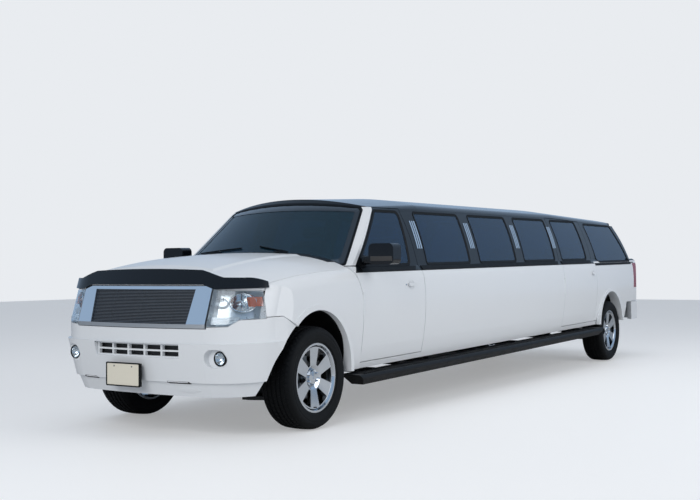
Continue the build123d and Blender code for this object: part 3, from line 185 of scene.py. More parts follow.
@dataclass(frozen=True)
class Finish:
    """One real material: its colour, how it takes light, and the fine structure of its surface."""

    name: str
    colour: str
    second: str = ""
    slot: str = "black_plastic"
    roughness: float = 0.5
    metallic: float = 0.0
    ior: float = 1.5
    specular: float = 0.5
    coat: float = 0.0
    coat_roughness: float = 0.03
    transmission: float = 0.0
    sheen: float = 0.0
    patch_mm: float = 60.0
    patch_amount: float = 0.25
    rough_spread: float = 0.08
    grain_mm: float = 0.0
    grain_height_mm: float = 0.0
    stretch: Point = (1.0, 1.0, 1.0)

    def build(self) -> bpy.types.Material:
        """Makes the node material of this finish."""
        material = bpy.data.materials.new(self.name)
        material.use_nodes = True
        tree = material.node_tree
        tree.nodes.clear()
        shader = add_node(tree, "ShaderNodeBsdfPrincipled", {
            "Metallic": self.metallic, "IOR": self.ior, "Specular IOR Level": self.specular,
            "Coat Weight": self.coat, "Coat Roughness": self.coat_roughness,
            "Transmission Weight": self.transmission, "Sheen Weight": self.sheen})
        place = add_node(tree, "ShaderNodeTexCoord")
        scaled = add_node(tree, "ShaderNodeMapping", {"Scale": self.stretch},
                          {"Vector": place.outputs["Object"]})
        patches = add_node(tree, "ShaderNodeTexNoise", {"Scale": 1000.0 / self.patch_mm, "Detail": 4.0},
                           {"Vector": scaled.outputs["Vector"]})
        colour = self.tint(tree, place, patches.outputs["Fac"])
        tree.links.new(colour, shader.inputs["Base Color"])
        gloss = self.gloss(tree, patches.outputs["Fac"])
        tree.links.new(gloss, shader.inputs["Roughness"])
        height = self.relief(tree, scaled.outputs["Vector"])
        if height is not None:
            bump = add_node(tree, "ShaderNodeBump", {"Distance": self.grain_height_mm / 1000.0},
                            {"Height": height})
            tree.links.new(bump.outputs["Normal"], shader.inputs["Normal"])
        add_node(tree, "ShaderNodeOutputMaterial", links={"Surface": shader.outputs["BSDF"]})
        return material

    def tint(self, tree: bpy.types.NodeTree, place: bpy.types.Node,
             patches: bpy.types.NodeSocket) -> bpy.types.NodeSocket:
        """Mixes the two tones of the material in soft patches.

        Args:
            tree: The material's tree.
            place: The texture coordinates.
            patches: The patch pattern, from 0 to 1.

        Returns:
            The colour socket.
        """
        share = add_node(tree, "ShaderNodeMath", {"operation": "MULTIPLY", 1: self.patch_amount},
                         {0: patches})
        blend = add_node(tree, "ShaderNodeMix", {
            "data_type": "RGBA", MIX_A: linear(self.colour), MIX_B: linear(self.second or self.colour)},
            {0: share.outputs[0]})
        return blend.outputs[MIX_OUT]

    def gloss(self, tree: bpy.types.NodeTree, patches: bpy.types.NodeSocket) -> bpy.types.NodeSocket:
        """Spreads the roughness a little round its middle.

        Args:
            tree: The material's tree.
            patches: The patch pattern, from 0 to 1.

        Returns:
            The roughness socket.
        """
        rough = add_node(tree, "ShaderNodeMapRange", {
            "To Min": max(0.0, self.roughness - self.rough_spread),
            "To Max": min(1.0, self.roughness + self.rough_spread)}, {"Value": patches})
        return rough.outputs["Result"]

    def relief(self, tree: bpy.types.NodeTree,
               place: bpy.types.NodeSocket) -> bpy.types.NodeSocket | None:
        """Gives the height of the fine grain, or nothing where the surface is smooth.

        Args:
            tree: The material's tree.
            place: The scaled object coordinates.

        Returns:
            The height socket, or None.
        """
        if self.grain_mm <= 0.0:
            return None
        grain = add_node(tree, "ShaderNodeTexNoise", {"Scale": 1000.0 / self.grain_mm, "Detail": 3.0},
                         {"Vector": place})
        return grain.outputs["Fac"]


@dataclass(frozen=True)
class TwoTonePaint(Finish):
    """Body paint with a dark band above the belt, and dark trim on the side that faces the cabin."""

    band: str = "#06080b"
    trim: str = "#26272a"
    belt: float = BELT
    corner_slope: float = 1.10
    corner_place: float = 0.655
    corner_height: float = 1.246

    def above(self, tree: bpy.types.NodeTree, place: bpy.types.Node) -> bpy.types.NodeSocket:
        """Marks the dark band: over the belt and behind the windshield pillar's foot.

        Args:
            tree: The material's tree.
            place: The texture coordinates.

        Returns:
            A socket that is 1 in the band.
        """
        sine, cosine = math.sin(RAKE), math.cos(RAKE)
        height = add_node(tree, "ShaderNodeVectorMath", {"operation": "DOT_PRODUCT", 1: (0.0, -sine, cosine)},
                          {0: place.outputs["Object"]})
        level = self.belt - HUB_HEIGHT + AXLE_TO_MIDDLE * sine + HUB_HEIGHT * cosine
        over = add_node(tree, "ShaderNodeMath", {"operation": "GREATER_THAN", 1: level},
                        {0: height.outputs["Value"]})
        slope = self.corner_slope
        lean = add_node(tree, "ShaderNodeVectorMath", {
            "operation": "DOT_PRODUCT", 1: (0.0, cosine + slope * sine, sine - slope * cosine)},
            {0: place.outputs["Object"]})
        start = self.corner_place - slope * self.corner_height - AXLE_TO_MIDDLE * (cosine + slope * sine) \
            + HUB_HEIGHT * (slope - slope * cosine + sine)
        behind = add_node(tree, "ShaderNodeMath", {"operation": "GREATER_THAN", 1: start},
                          {0: lean.outputs["Value"]})
        both = add_node(tree, "ShaderNodeMath", {"operation": "MULTIPLY"},
                        {0: over.outputs[0], 1: behind.outputs[0]})
        return both.outputs[0]

    def inside(self, tree: bpy.types.NodeTree, place: bpy.types.Node) -> bpy.types.NodeSocket:
        """Marks the faces that look towards the middle of the car.

        Args:
            tree: The material's tree.
            place: The texture coordinates.

        Returns:
            A socket that is 1 on the cabin side.
        """
        facing = add_node(tree, "ShaderNodeSeparateXYZ", links={0: place.outputs["Normal"]})
        across = add_node(tree, "ShaderNodeSeparateXYZ", links={0: place.outputs["Object"]})
        sign = add_node(tree, "ShaderNodeMath", {"operation": "SIGN"}, {0: across.outputs[0]})
        inward = add_node(tree, "ShaderNodeMath", {"operation": "MULTIPLY"},
                          {0: facing.outputs[0], 1: sign.outputs[0]})
        inner = add_node(tree, "ShaderNodeMath", {"operation": "LESS_THAN", 1: -0.4}, {0: inward.outputs[0]})
        return inner.outputs[0]

    def tint(self, tree: bpy.types.NodeTree, place: bpy.types.Node,
             patches: bpy.types.NodeSocket) -> bpy.types.NodeSocket:
        """Paints the lower body, the band and the cabin side.

        Args:
            tree: The material's tree.
            place: The texture coordinates.
            patches: The patch pattern, from 0 to 1.

        Returns:
            The colour socket.
        """
        body = super().tint(tree, place, patches)
        banded = add_node(tree, "ShaderNodeMix", {"data_type": "RGBA", MIX_B: linear(self.band)},
                          {0: self.above(tree, place), MIX_A: body})
        trimmed = add_node(tree, "ShaderNodeMix", {"data_type": "RGBA", MIX_B: linear(self.trim)},
                           {0: self.inside(tree, place), MIX_A: banded.outputs[MIX_OUT]})
        return trimmed.outputs[MIX_OUT]


@dataclass(frozen=True)
class RibbedFinish(Finish):
    """A material with fine straight ribs along one direction."""

    rib_mm: float = 8.0
    rib_axis: str = "X"

    def relief(self, tree: bpy.types.NodeTree,
               place: bpy.types.NodeSocket) -> bpy.types.NodeSocket | None:
        """Gives the height of the ribs.

        Args:
            tree: The material's tree.
            place: The scaled object coordinates.

        Returns:
            The height socket.
        """
        ribs = add_node(tree, "ShaderNodeTexWave", {
            "bands_direction": self.rib_axis, "Scale": WAVE_SCALE / self.rib_mm, "Distortion": 0.0},
            {"Vector": place})
        return ribs.outputs["Fac"]


# Sprayed and polished two-pack enamel: an even, wet-looking white with only the faintest ripple
WHITE_PAINT = Finish(
    "white_enamel_sprayed", "#e4e7ea", "#dde1e5", slot="white_paint", roughness=0.3, specular=0.3,
    coat=0.2, patch_mm=900.0, rough_spread=0.03, grain_mm=14.0, grain_height_mm=0.03)
# The same white below, a polished black band round the windows, dark cabin trim inside
BODY_PAINT = TwoTonePaint(
    "two_tone_enamel_sprayed", "#e4e7ea", "#dde1e5", slot="white_paint", roughness=0.3, specular=0.3,
    coat=0.2, patch_mm=900.0, rough_spread=0.03, grain_mm=14.0, grain_height_mm=0.03)
# The tail's share of it, where the black begins a little higher
REAR_PAINT = replace(BODY_PAINT, name="two_tone_enamel_rear_sprayed", belt=1.212)
# Black roof enamel: deep and mirror-like with soft haze where it was buffed
BLACK_PAINT = Finish(
    "black_enamel_sprayed", "#08090b", "#0d0e11", slot="black_paint", roughness=0.16, specular=0.2,
    coat=0.45, patch_mm=700.0, rough_spread=0.04, grain_mm=14.0, grain_height_mm=0.02)
# Privacy glass: smoky, deep blue, mirror-smooth
TINTED_GLASS = Finish(
    "privacy_glass_tempered", "#2b4f72", "#28496a", slot="tinted_glass", roughness=0.03,
    transmission=0.72, ior=1.36, rough_spread=0.01, patch_mm=500.0)
# Laminated screen: clearer, with the green-blue cast of thick glass
CLEAR_GLASS = Finish(
    "screen_glass_laminated", "#31596c", "#2d5366", slot="clear_glass", roughness=0.03,
    transmission=0.82, ior=1.36, rough_spread=0.01, patch_mm=500.0)
# Fired black enamel on the edge of the glass: dead flat and opaque
GLASS_FRIT = Finish(
    "glass_edge_enamel_fired", "#08090a", "#0c0d0e", slot="gloss_black", roughness=0.22, coat=0.6)
# Moulded polycarbonate: water-clear with a hard coat
LENS = Finish(
    "lamp_polycarbonate_moulded", "#f4f7f8", "#eef2f4", slot="lamp_lens", roughness=0.03,
    transmission=1.0, ior=1.49, rough_spread=0.015, patch_mm=200.0)
# Amber acrylic: warm orange with a pebbled back that breaks up the light
AMBER_LENS = Finish(
    "amber_acrylic_moulded", "#d0652a", "#b9541f", slot="lamp_lens", roughness=0.12, coat=1.0,
    grain_mm=9.0, grain_height_mm=0.6)
# Red acrylic: dark wine red with level flutes
RED_LENS = RibbedFinish(
    "red_acrylic_moulded", "#8e0a0d", "#6b0507", slot="red_lens", roughness=0.15, specular=0.3,
    coat=0.3, patch_mm=30.0, grain_height_mm=0.8, rib_mm=14.0, rib_axis="Z")
# Fluted clear acrylic: milky white, finely striped
CLEAR_RIBBED = RibbedFinish(
    "clear_acrylic_ribbed", "#dfe4e6", "#c8ced2", slot="lamp_lens", roughness=0.1, coat=1.0,
    patch_mm=30.0, grain_height_mm=0.8, rib_mm=10.0, rib_axis="Z")
# Vacuum-plated lamp bowl: mirror-bright, a little milky
REFLECTOR = Finish(
    "reflector_aluminium_vacuum_plated", "#e3e6e8", "#d2d6d9", slot="bright_trim", roughness=0.12,
    metallic=1.0, patch_mm=25.0)
# Metallised lamp housing: satin silver that fills the lamp with soft light
LAMP_BODY = Finish(
    "lamp_housing_metallised", "#dde1e3", "#c3c9cd", roughness=0.3, metallic=0.6, patch_mm=40.0)
# Smoked acrylic of the deflector and the mirrors: black with a soft sheen
GLOSS_BLACK = Finish(
    "smoked_acrylic_polished", "#07090d", "#0a0c11", slot="gloss_black", roughness=0.24,
    specular=0.3, coat=0.1)
# Polished chrome: bright, with the slight unevenness of plating
BRIGHT_TRIM = Finish(
    "chrome_plate_polished", "#dfe1e3", "#d3d6d9", slot="bright_trim", roughness=0.1,
    metallic=1.0, patch_mm=120.0, rough_spread=0.04)
# Anodised billet slats: dull steel grey
GRILLE_METAL = Finish(
    "billet_aluminium_anodised", "#77797c", "#5f6163", slot="bright_trim", roughness=0.34,
    metallic=0.8, patch_mm=30.0)
# Chromed wheel: mirror-like, darker in its hollows
WHEEL_CHROME = Finish(
    "wheel_chrome_plated", "#cfd2d5", "#bfc3c7", slot="wheel_chrome", roughness=0.11,
    metallic=1.0, patch_mm=70.0, rough_spread=0.05)
# Tyre rubber: dry, dull black
TYRE_RUBBER = Finish(
    "tyre_rubber_vulcanised", "#08090a", "#0e0f10", slot="tyre_rubber", roughness=0.72,
    specular=0.2, grain_mm=2.5, grain_height_mm=0.25)
# Grained black plastic: matt, with a fine leather grain
BLACK_PLASTIC = Finish(
    "black_polypropylene_grained", "#090a0b", "#0e0f11", roughness=0.5, specular=0.2,
    grain_mm=3.0, grain_height_mm=0.25)
# Warm grey grained plastic of the mirror's band and the vents
GREY_PLASTIC = Finish(
    "grey_polypropylene_grained", "#3b3835", "#45423e", roughness=0.5, grain_mm=3.0,
    grain_height_mm=0.2)
# Extruded rubber: flat black that frames the glass
SEAL_RUBBER = Finish(
    "window_rubber_extruded", "#060708", "#0b0c0d", roughness=0.6, specular=0.2, grain_mm=4.0,
    grain_height_mm=0.1)
# Dipped chassis enamel: dusty black with brownish patches
CHASSIS_BLACK = Finish(
    "chassis_enamel_dipped", "#17181a", "#24211f", slot="chassis_black", roughness=0.55,
    grain_mm=20.0, grain_height_mm=0.3, patch_mm=90.0, patch_amount=0.6)
# Cut-pile carpet: deep charcoal with a soft edge of light
CARPET = Finish(
    "cut_pile_carpet_tufted", "#1f2023", "#2b2c30", slot="floor_paint", roughness=0.95, sheen=0.5,
    grain_mm=3.0, grain_height_mm=2.0, patch_mm=40.0)
# Sand-cast iron: rough and grey-brown
CAST_METAL = Finish(
    "iron_sand_cast", "#4a4744", "#5d5853", slot="cast_metal", roughness=0.6, metallic=0.7,
    grain_mm=5.0, grain_height_mm=0.4)
# Turned iron: grey with fine tool marks
BRAKE_STEEL = RibbedFinish(
    "brake_disc_iron_turned", "#8a8a88", "#6f6c68", slot="cast_metal", roughness=0.35,
    metallic=1.0, grain_height_mm=0.1, rib_mm=3.0, rib_axis="Z")
# Aluminised pipe: silver gone brown with heat
EXHAUST_STEEL = Finish(
    "aluminised_steel_rolled", "#7c7771", "#5f5750", slot="exhaust_steel", roughness=0.42,
    metallic=1.0, patch_mm=80.0, patch_amount=0.7)
# Enamelled plate: blank cream
PLATE_PAINT = Finish(
    "plate_aluminium_enamelled", "#e6e0cf", "#ddd6c4", slot="white_paint", roughness=0.4,
    coat=0.3, patch_mm=40.0)
# Dyed leather: near black with a soft sheen on its creases
LEATHER = Finish(
    "seat_leather_dyed", "#232326", "#2e2e33", slot="seat_leather", roughness=0.48, sheen=0.15,
    grain_mm=5.0, grain_height_mm=0.5)

# What each of the part's own materials becomes
SLOT_FINISHES: dict[str, Finish] = {finish.slot: finish for finish in (
    WHITE_PAINT, BLACK_PAINT, TINTED_GLASS, CLEAR_GLASS, LENS, RED_LENS, GLOSS_BLACK, BRIGHT_TRIM,
    WHEEL_CHROME, TYRE_RUBBER, BLACK_PLASTIC, CHASSIS_BLACK, CARPET, CAST_METAL, EXHAUST_STEEL, LEATHER)}

# Nodes that carry more than one colour, or another than their material's
NODE_FINISHES: dict[str, Finish] = {
    **{f"{panel}_{word}": BODY_PAINT for panel in ("front_door", "rear_door", "side_panel")
       for word in ("left", "right")},
    "quarter_panel_left": REAR_PAINT, "quarter_panel_right": REAR_PAINT, "liftgate": REAR_PAINT,
    "mirror_left": GLOSS_BLACK, "mirror_right": GLOSS_BLACK, "firewall": CHASSIS_BLACK}


# Drawing

PROBE = 0.004
WELD = 2e-5
BEVEL_STEPS = 3
BEVEL_ANGLE = 40.0
SEAM_WIDTH = 0.011


@dataclass
class Shape:
    """Corners and faces of a piece."""

    points: list[Point] = field(default_factory=list)
    faces: list[tuple[int, ...]] = field(default_factory=list)

    def add(self, points: Iterable[Sequence[float]], faces: Iterable[Sequence[int]]) -> Shape:
        """Adds corners and the faces that join them.

        Args:
            points: New corners.
            faces: Faces as places in the new corners.

        Returns:
            This shape.
        """
        start = len(self.points)
        self.points.extend((float(point[0]), float(point[1]), float(point[2])) for point in points)
        self.faces.extend(tuple(start + corner for corner in face) for face in faces)
        return self

    def join(self, *others: Shape) -> Shape:
        """Adds whole shapes and returns this one."""
        for other in others:
            self.add(other.points, other.faces)
        return self

    def turned(self, matrix: Matrix) -> Shape:
        """A copy under a matrix."""
        return Shape([tuple(matrix @ Vector(point)) for point in self.points], list(self.faces))

    def moved(self, across: float, along: float, up: float) -> Shape:
        """A copy moved by three lengths."""
        return self.turned(Matrix.Translation((across, along, up)))

    def on(self, side: Side) -> Shape:
        """The shape itself for the left side, or its mirror image for the right."""
        if side is Side.LEFT:
            return self
        return Shape([(-x, y, z) for x, y, z in self.points], [tuple(reversed(face)) for face in self.faces])


def skinned(rows: Sequence[Sequence[Sequence[float]]], looped: bool = False, capped: bool = True) -> Shape:
    """Skins a series of closed rings of equal counts.

    Args:
        rows: The rings.
        looped: Whether the last ring joins the first.
        capped: Whether the end rings are closed with a face.

    Returns:
        The skin.
    """
    count = len(rows[0])
    faces: list[tuple[int, ...]] = []
    for row in range(len(rows) if looped else len(rows) - 1):
        here = row * count
        there = ((row + 1) % len(rows)) * count
        faces += [(here + k, here + (k + 1) % count, there + (k + 1) % count, there + k)
                  for k in range(count)]
    if capped and not looped:
        faces.append(tuple(reversed(range(count))))
        faces.append(tuple((len(rows) - 1) * count + k for k in range(count)))
    return Shape().add([point for row in rows for point in row], faces)


def lathed(profile: Sequence[Flat], turns: int = 48) -> Shape:
    """Turns a closed profile of place along the axle and radius round the X axis."""
    rows = []
    for step in range(turns):
        angle = 2.0 * math.pi * step / turns
        rows.append([(x, r * math.cos(angle), r * math.sin(angle)) for x, r in profile])
    return skinned(rows, looped=True)


def solid_box(low: Point, high: Point) -> Shape:
    """A block between two corners, to be rounded by its bevel."""
    rows = [[(low[0], low[1], z), (high[0], low[1], z), (high[0], high[1], z), (low[0], high[1], z)]
            for z in (low[2], high[2])]
    return skinned(rows)


def spread(start: float, end: float, count: int) -> list[float]:
    """Values at even steps from a start to an end, both included."""
    return [start + (end - start) * index / (count - 1) for index in range(count)]


def backed(line: Sequence[Point], depth: float) -> list[Point]:
    """A closed ring of a line and its own copy, moved along by a depth."""
    return [*line, *((x, y + depth, z) for x, y, z in reversed(line))]


def dish(profile: Sequence[Flat], turns: int) -> Shape:
    """Turns an open profile with a thin wall round the X axis."""
    return lathed([*profile, *((x - 0.002, r + 0.001) for x, r in reversed(profile))], turns)


def layered(corner: Point, rings: Sequence[tuple[Sequence[Flat], float]], looped: bool = False) -> Shape:
    """Skins flat outlines that stand one behind the other.

    Args:
        corner: Where the outlines' own zero lies.
        rings: Each outline, across and up, with its place along.
        looped: Whether the last ring joins the first.

    Returns:
        The skin.
    """
    return skinned([[(corner[0] + x, corner[1] + depth, corner[2] + z) for x, z in ring]
                    for ring, depth in rings], looped=looped)


def grown(corners: Sequence[Flat], amount: float) -> list[Flat]:
    """Moves the sides of a convex outline outwards.

    Args:
        corners: The outline.
        amount: How far, with a minus for inwards.

    Returns:
        The new corners.
    """
    middle = sum((Vector(corner) for corner in corners), Vector((0.0, 0.0))) / len(corners)
    sides = []
    for index, corner in enumerate(corners):
        start = Vector(corner)
        way = (Vector(corners[(index + 1) % len(corners)]) - start).normalized()
        out = Vector((way.y, -way.x))
        if out.dot(start - middle) < 0.0:
            out.negate()
        sides.append((start + out * amount, way))
    result = []
    for index, (start, way) in enumerate(sides):
        before, along = sides[index - 1]
        cross = along.x * way.y - along.y * way.x
        gap = start - before
        result.append(tuple(before + along * ((gap.x * way.y - gap.y * way.x) / cross)))
    return result


def rounded(corners: Sequence[Flat], radius: float, steps: int = 6, along: int = 5) -> list[Flat]:
    """Rounds the corners of a convex outline, with a fixed count of points.

    Args:
        corners: The outline.
        radius: Corner radius.
        steps: Pieces in each corner arc.
        along: Extra points on each straight side.

    Returns:
        The rounded outline.
    """
    arcs = []
    for index, corner in enumerate(corners):
        tip = Vector(corner)
        back = (Vector(corners[index - 1]) - tip).normalized()
        ahead = (Vector(corners[(index + 1) % len(corners)]) - tip).normalized()
        half = back.angle(ahead) / 2.0
        centre = tip + (back + ahead).normalized() * (radius / math.sin(half))
        start = tip + back * (radius / math.tan(half)) - centre
        end = tip + ahead * (radius / math.tan(half)) - centre
        first = math.atan2(start.y, start.x)
        sweep = (math.atan2(end.y, end.x) - first + math.pi) % (2.0 * math.pi) - math.pi
        arcs.append([(centre.x + radius * math.cos(first + sweep * k / steps),
                      centre.y + radius * math.sin(first + sweep * k / steps)) for k in range(steps + 1)])
    result: list[Flat] = []
    for index, arc in enumerate(arcs):
        following = arcs[(index + 1) % len(arcs)][0]
        result += arc
        result += [(arc[-1][0] + (following[0] - arc[-1][0]) * k / (along + 1),
                    arc[-1][1] + (following[1] - arc[-1][1]) * k / (along + 1)) for k in range(1, along + 1)]
    return result


def bar(path: Sequence[Sequence[float]], outs: Sequence[Sequence[float]], profile: Sequence[Flat]) -> Shape:
    """Draws a section along a path.

    Args:
        path: Points of the path.
        outs: The outward direction at each point.
        profile: The section: place outwards and place sideways.

    Returns:
        The closed bar.
    """
    rows = []
    for index, place in enumerate(path):
        here = Vector(place)
        ahead = Vector(path[min(index + 1, len(path) - 1)]) - Vector(path[max(index - 1, 0)])
        out = Vector(outs[index]).normalized()
        aside = ahead.cross(out).normalized()
        rows.append([tuple(here + out * a + aside * b) for a, b in profile])
    return skinned(rows)


def padding(low: Point, high: Point, edge: float, crown: float, channels: Sequence[float] = (),
            depth: float = 0.012, count: int = 22) -> Shape:
    """A stuffed cushion: a soft-edged block that swells in the middle of its faces, with sewn channels.

    Args:
        low: Low corner of the space it fills.
        high: High corner.
        edge: Radius of the soft edges.
        crown: How far the middle of each face swells inside that space.
        channels: Places of the sewn channels across the cushion, as shares of its width.
        depth: Depth of the channels.
        count: Pieces along each side.

    Returns:
        The cushion.
    """
    middle = (Vector(low) + Vector(high)) / 2.0
    half = (Vector(high) - Vector(low)) / 2.0 - Vector((crown, crown, crown))
    shape = Shape()
    for axis in range(3):
        first, second = (axis + 1) % 3, (axis + 2) % 3
        for sign in (-1.0, 1.0):
            way = Vector([0.0 if k != axis else sign for k in range(3)])
            points = []
            for u in range(count + 1):
                for v in range(count + 1):
                    place = [0.0, 0.0, 0.0]
                    place[axis] = sign
                    place[first] = math.sin(math.pi / 2.0 * (2.0 * u / count - 1.0))
                    place[second] = math.sin(math.pi / 2.0 * (2.0 * v / count - 1.0))
                    raw = Vector([place[k] * half[k] for k in range(3)])
                    core = Vector([max(-half[k] + edge, min(half[k] - edge, raw[k])) for k in range(3)])
                    out = raw - core
                    if out.length > 1e-9:
                        raw = core + out.normalized() * edge
                    swell = crown * (1.0 - place[first] ** 4) * (1.0 - place[second] ** 4)
                    raw[axis] += sign * swell
                    wide, reach = (half.y, raw.y) if half.y > half.x else (half.x, raw.x)
                    share = (reach / wide + 1.0) / 2.0
                    for line in channels:
                        near = (share - line) * 2.0 * wide
                        raw -= depth * math.exp(-(near / SEAM_WIDTH) ** 2) * way
                    points.append(tuple(middle + raw))
            faces = []
            for u in range(count):
                for v in range(count):
                    here = u * (count + 1) + v
                    faces.append((here, here + count + 1, here + count + 2, here + 1))
            shape.add(points, faces)
    return shape


class Repeater:
    """One node tree that sets a row of copies, each moved, turned and scaled by a step."""

    def __init__(self) -> None:
        """Builds the tree with its named inputs."""
        self.tree = bpy.data.node_groups.new("row_of_copies", "GeometryNodeTree")
        self.inputs: dict[str, str] = {}
        for name, kind in (
                ("Geometry", "NodeSocketGeometry"), ("Count", "NodeSocketInt"),
                ("Step", "NodeSocketVector"), ("Turn", "NodeSocketVector"),
                ("Growth", "NodeSocketVector"), ("Finish", "NodeSocketMaterial")):
            item = self.tree.interface.new_socket(name=name, in_out="INPUT", socket_type=kind)
            self.inputs[name] = item.identifier
        self.tree.interface.new_socket(name="Geometry", in_out="OUTPUT", socket_type="NodeSocketGeometry")
        tree = self.tree
        given = add_node(tree, "NodeGroupInput").outputs
        index = add_node(tree, "GeometryNodeInputIndex").outputs[0]
        line = add_node(tree, "GeometryNodeMeshLine", {"mode": "OFFSET"},
                        {"Count": given["Count"], "Offset": given["Step"]})
        turn = add_node(tree, "ShaderNodeVectorMath", {"operation": "SCALE"},
                        {0: given["Turn"], "Scale": index})
        growth = add_node(tree, "ShaderNodeVectorMath", {"operation": "SCALE"},
                          {0: given["Growth"], "Scale": index})
        scale = add_node(tree, "ShaderNodeVectorMath", {"operation": "ADD", 1: (1.0, 1.0, 1.0)},
                         {0: growth.outputs[0]})
        copies = add_node(tree, "GeometryNodeInstanceOnPoints", links={
            "Points": line.outputs[0], "Instance": given["Geometry"], "Rotation": turn.outputs[0],
            "Scale": scale.outputs[0]})
        real = add_node(tree, "GeometryNodeRealizeInstances", links={0: copies.outputs[0]})
        dressed = add_node(tree, "GeometryNodeSetMaterial", links={
            "Geometry": real.outputs[0], "Material": given["Finish"]})
        add_node(tree, "NodeGroupOutput", links={0: dressed.outputs[0]})

    def row(self, shape: Shape, count: int, step: Point = (0.0, 0.0, 0.0), turn: Point = (0.0, 0.0, 0.0),
            growth: Point = (0.0, 0.0, 0.0)) -> Shape:
        """Repeats a shape.

        Args:
            shape: The first copy.
            count: How many copies.
            step: Move from one copy to the next.
            turn: Turn from one copy to the next, about the origin.
            growth: Growth of the scale from one copy to the next.

        Returns:
            All the copies as one shape.
        """
        mesh = bpy.data.meshes.new("first_copy")
        mesh.from_pydata(shape.points, [], shape.faces)
        carrier = bpy.data.objects.new("first_copy", mesh)
        bpy.context.scene.collection.objects.link(carrier)
        modifier = carrier.modifiers.new("row", "NODES")
        modifier.node_group = self.tree
        for name, value in (("Count", count), ("Step", step), ("Turn", turn), ("Growth", growth)):
            modifier[self.inputs[name]] = value
        bpy.context.view_layer.update()
        shown = carrier.evaluated_get(bpy.context.evaluated_depsgraph_get())
        result = bpy.data.meshes.new_from_object(shown)
        copies = Shape([tuple(v.co) for v in result.vertices], [tuple(p.vertices) for p in result.polygons])
        carrier.modifiers.remove(modifier)
        bpy.data.objects.remove(carrier)
        bpy.data.meshes.remove(mesh)
        bpy.data.meshes.remove(result)
        return copies


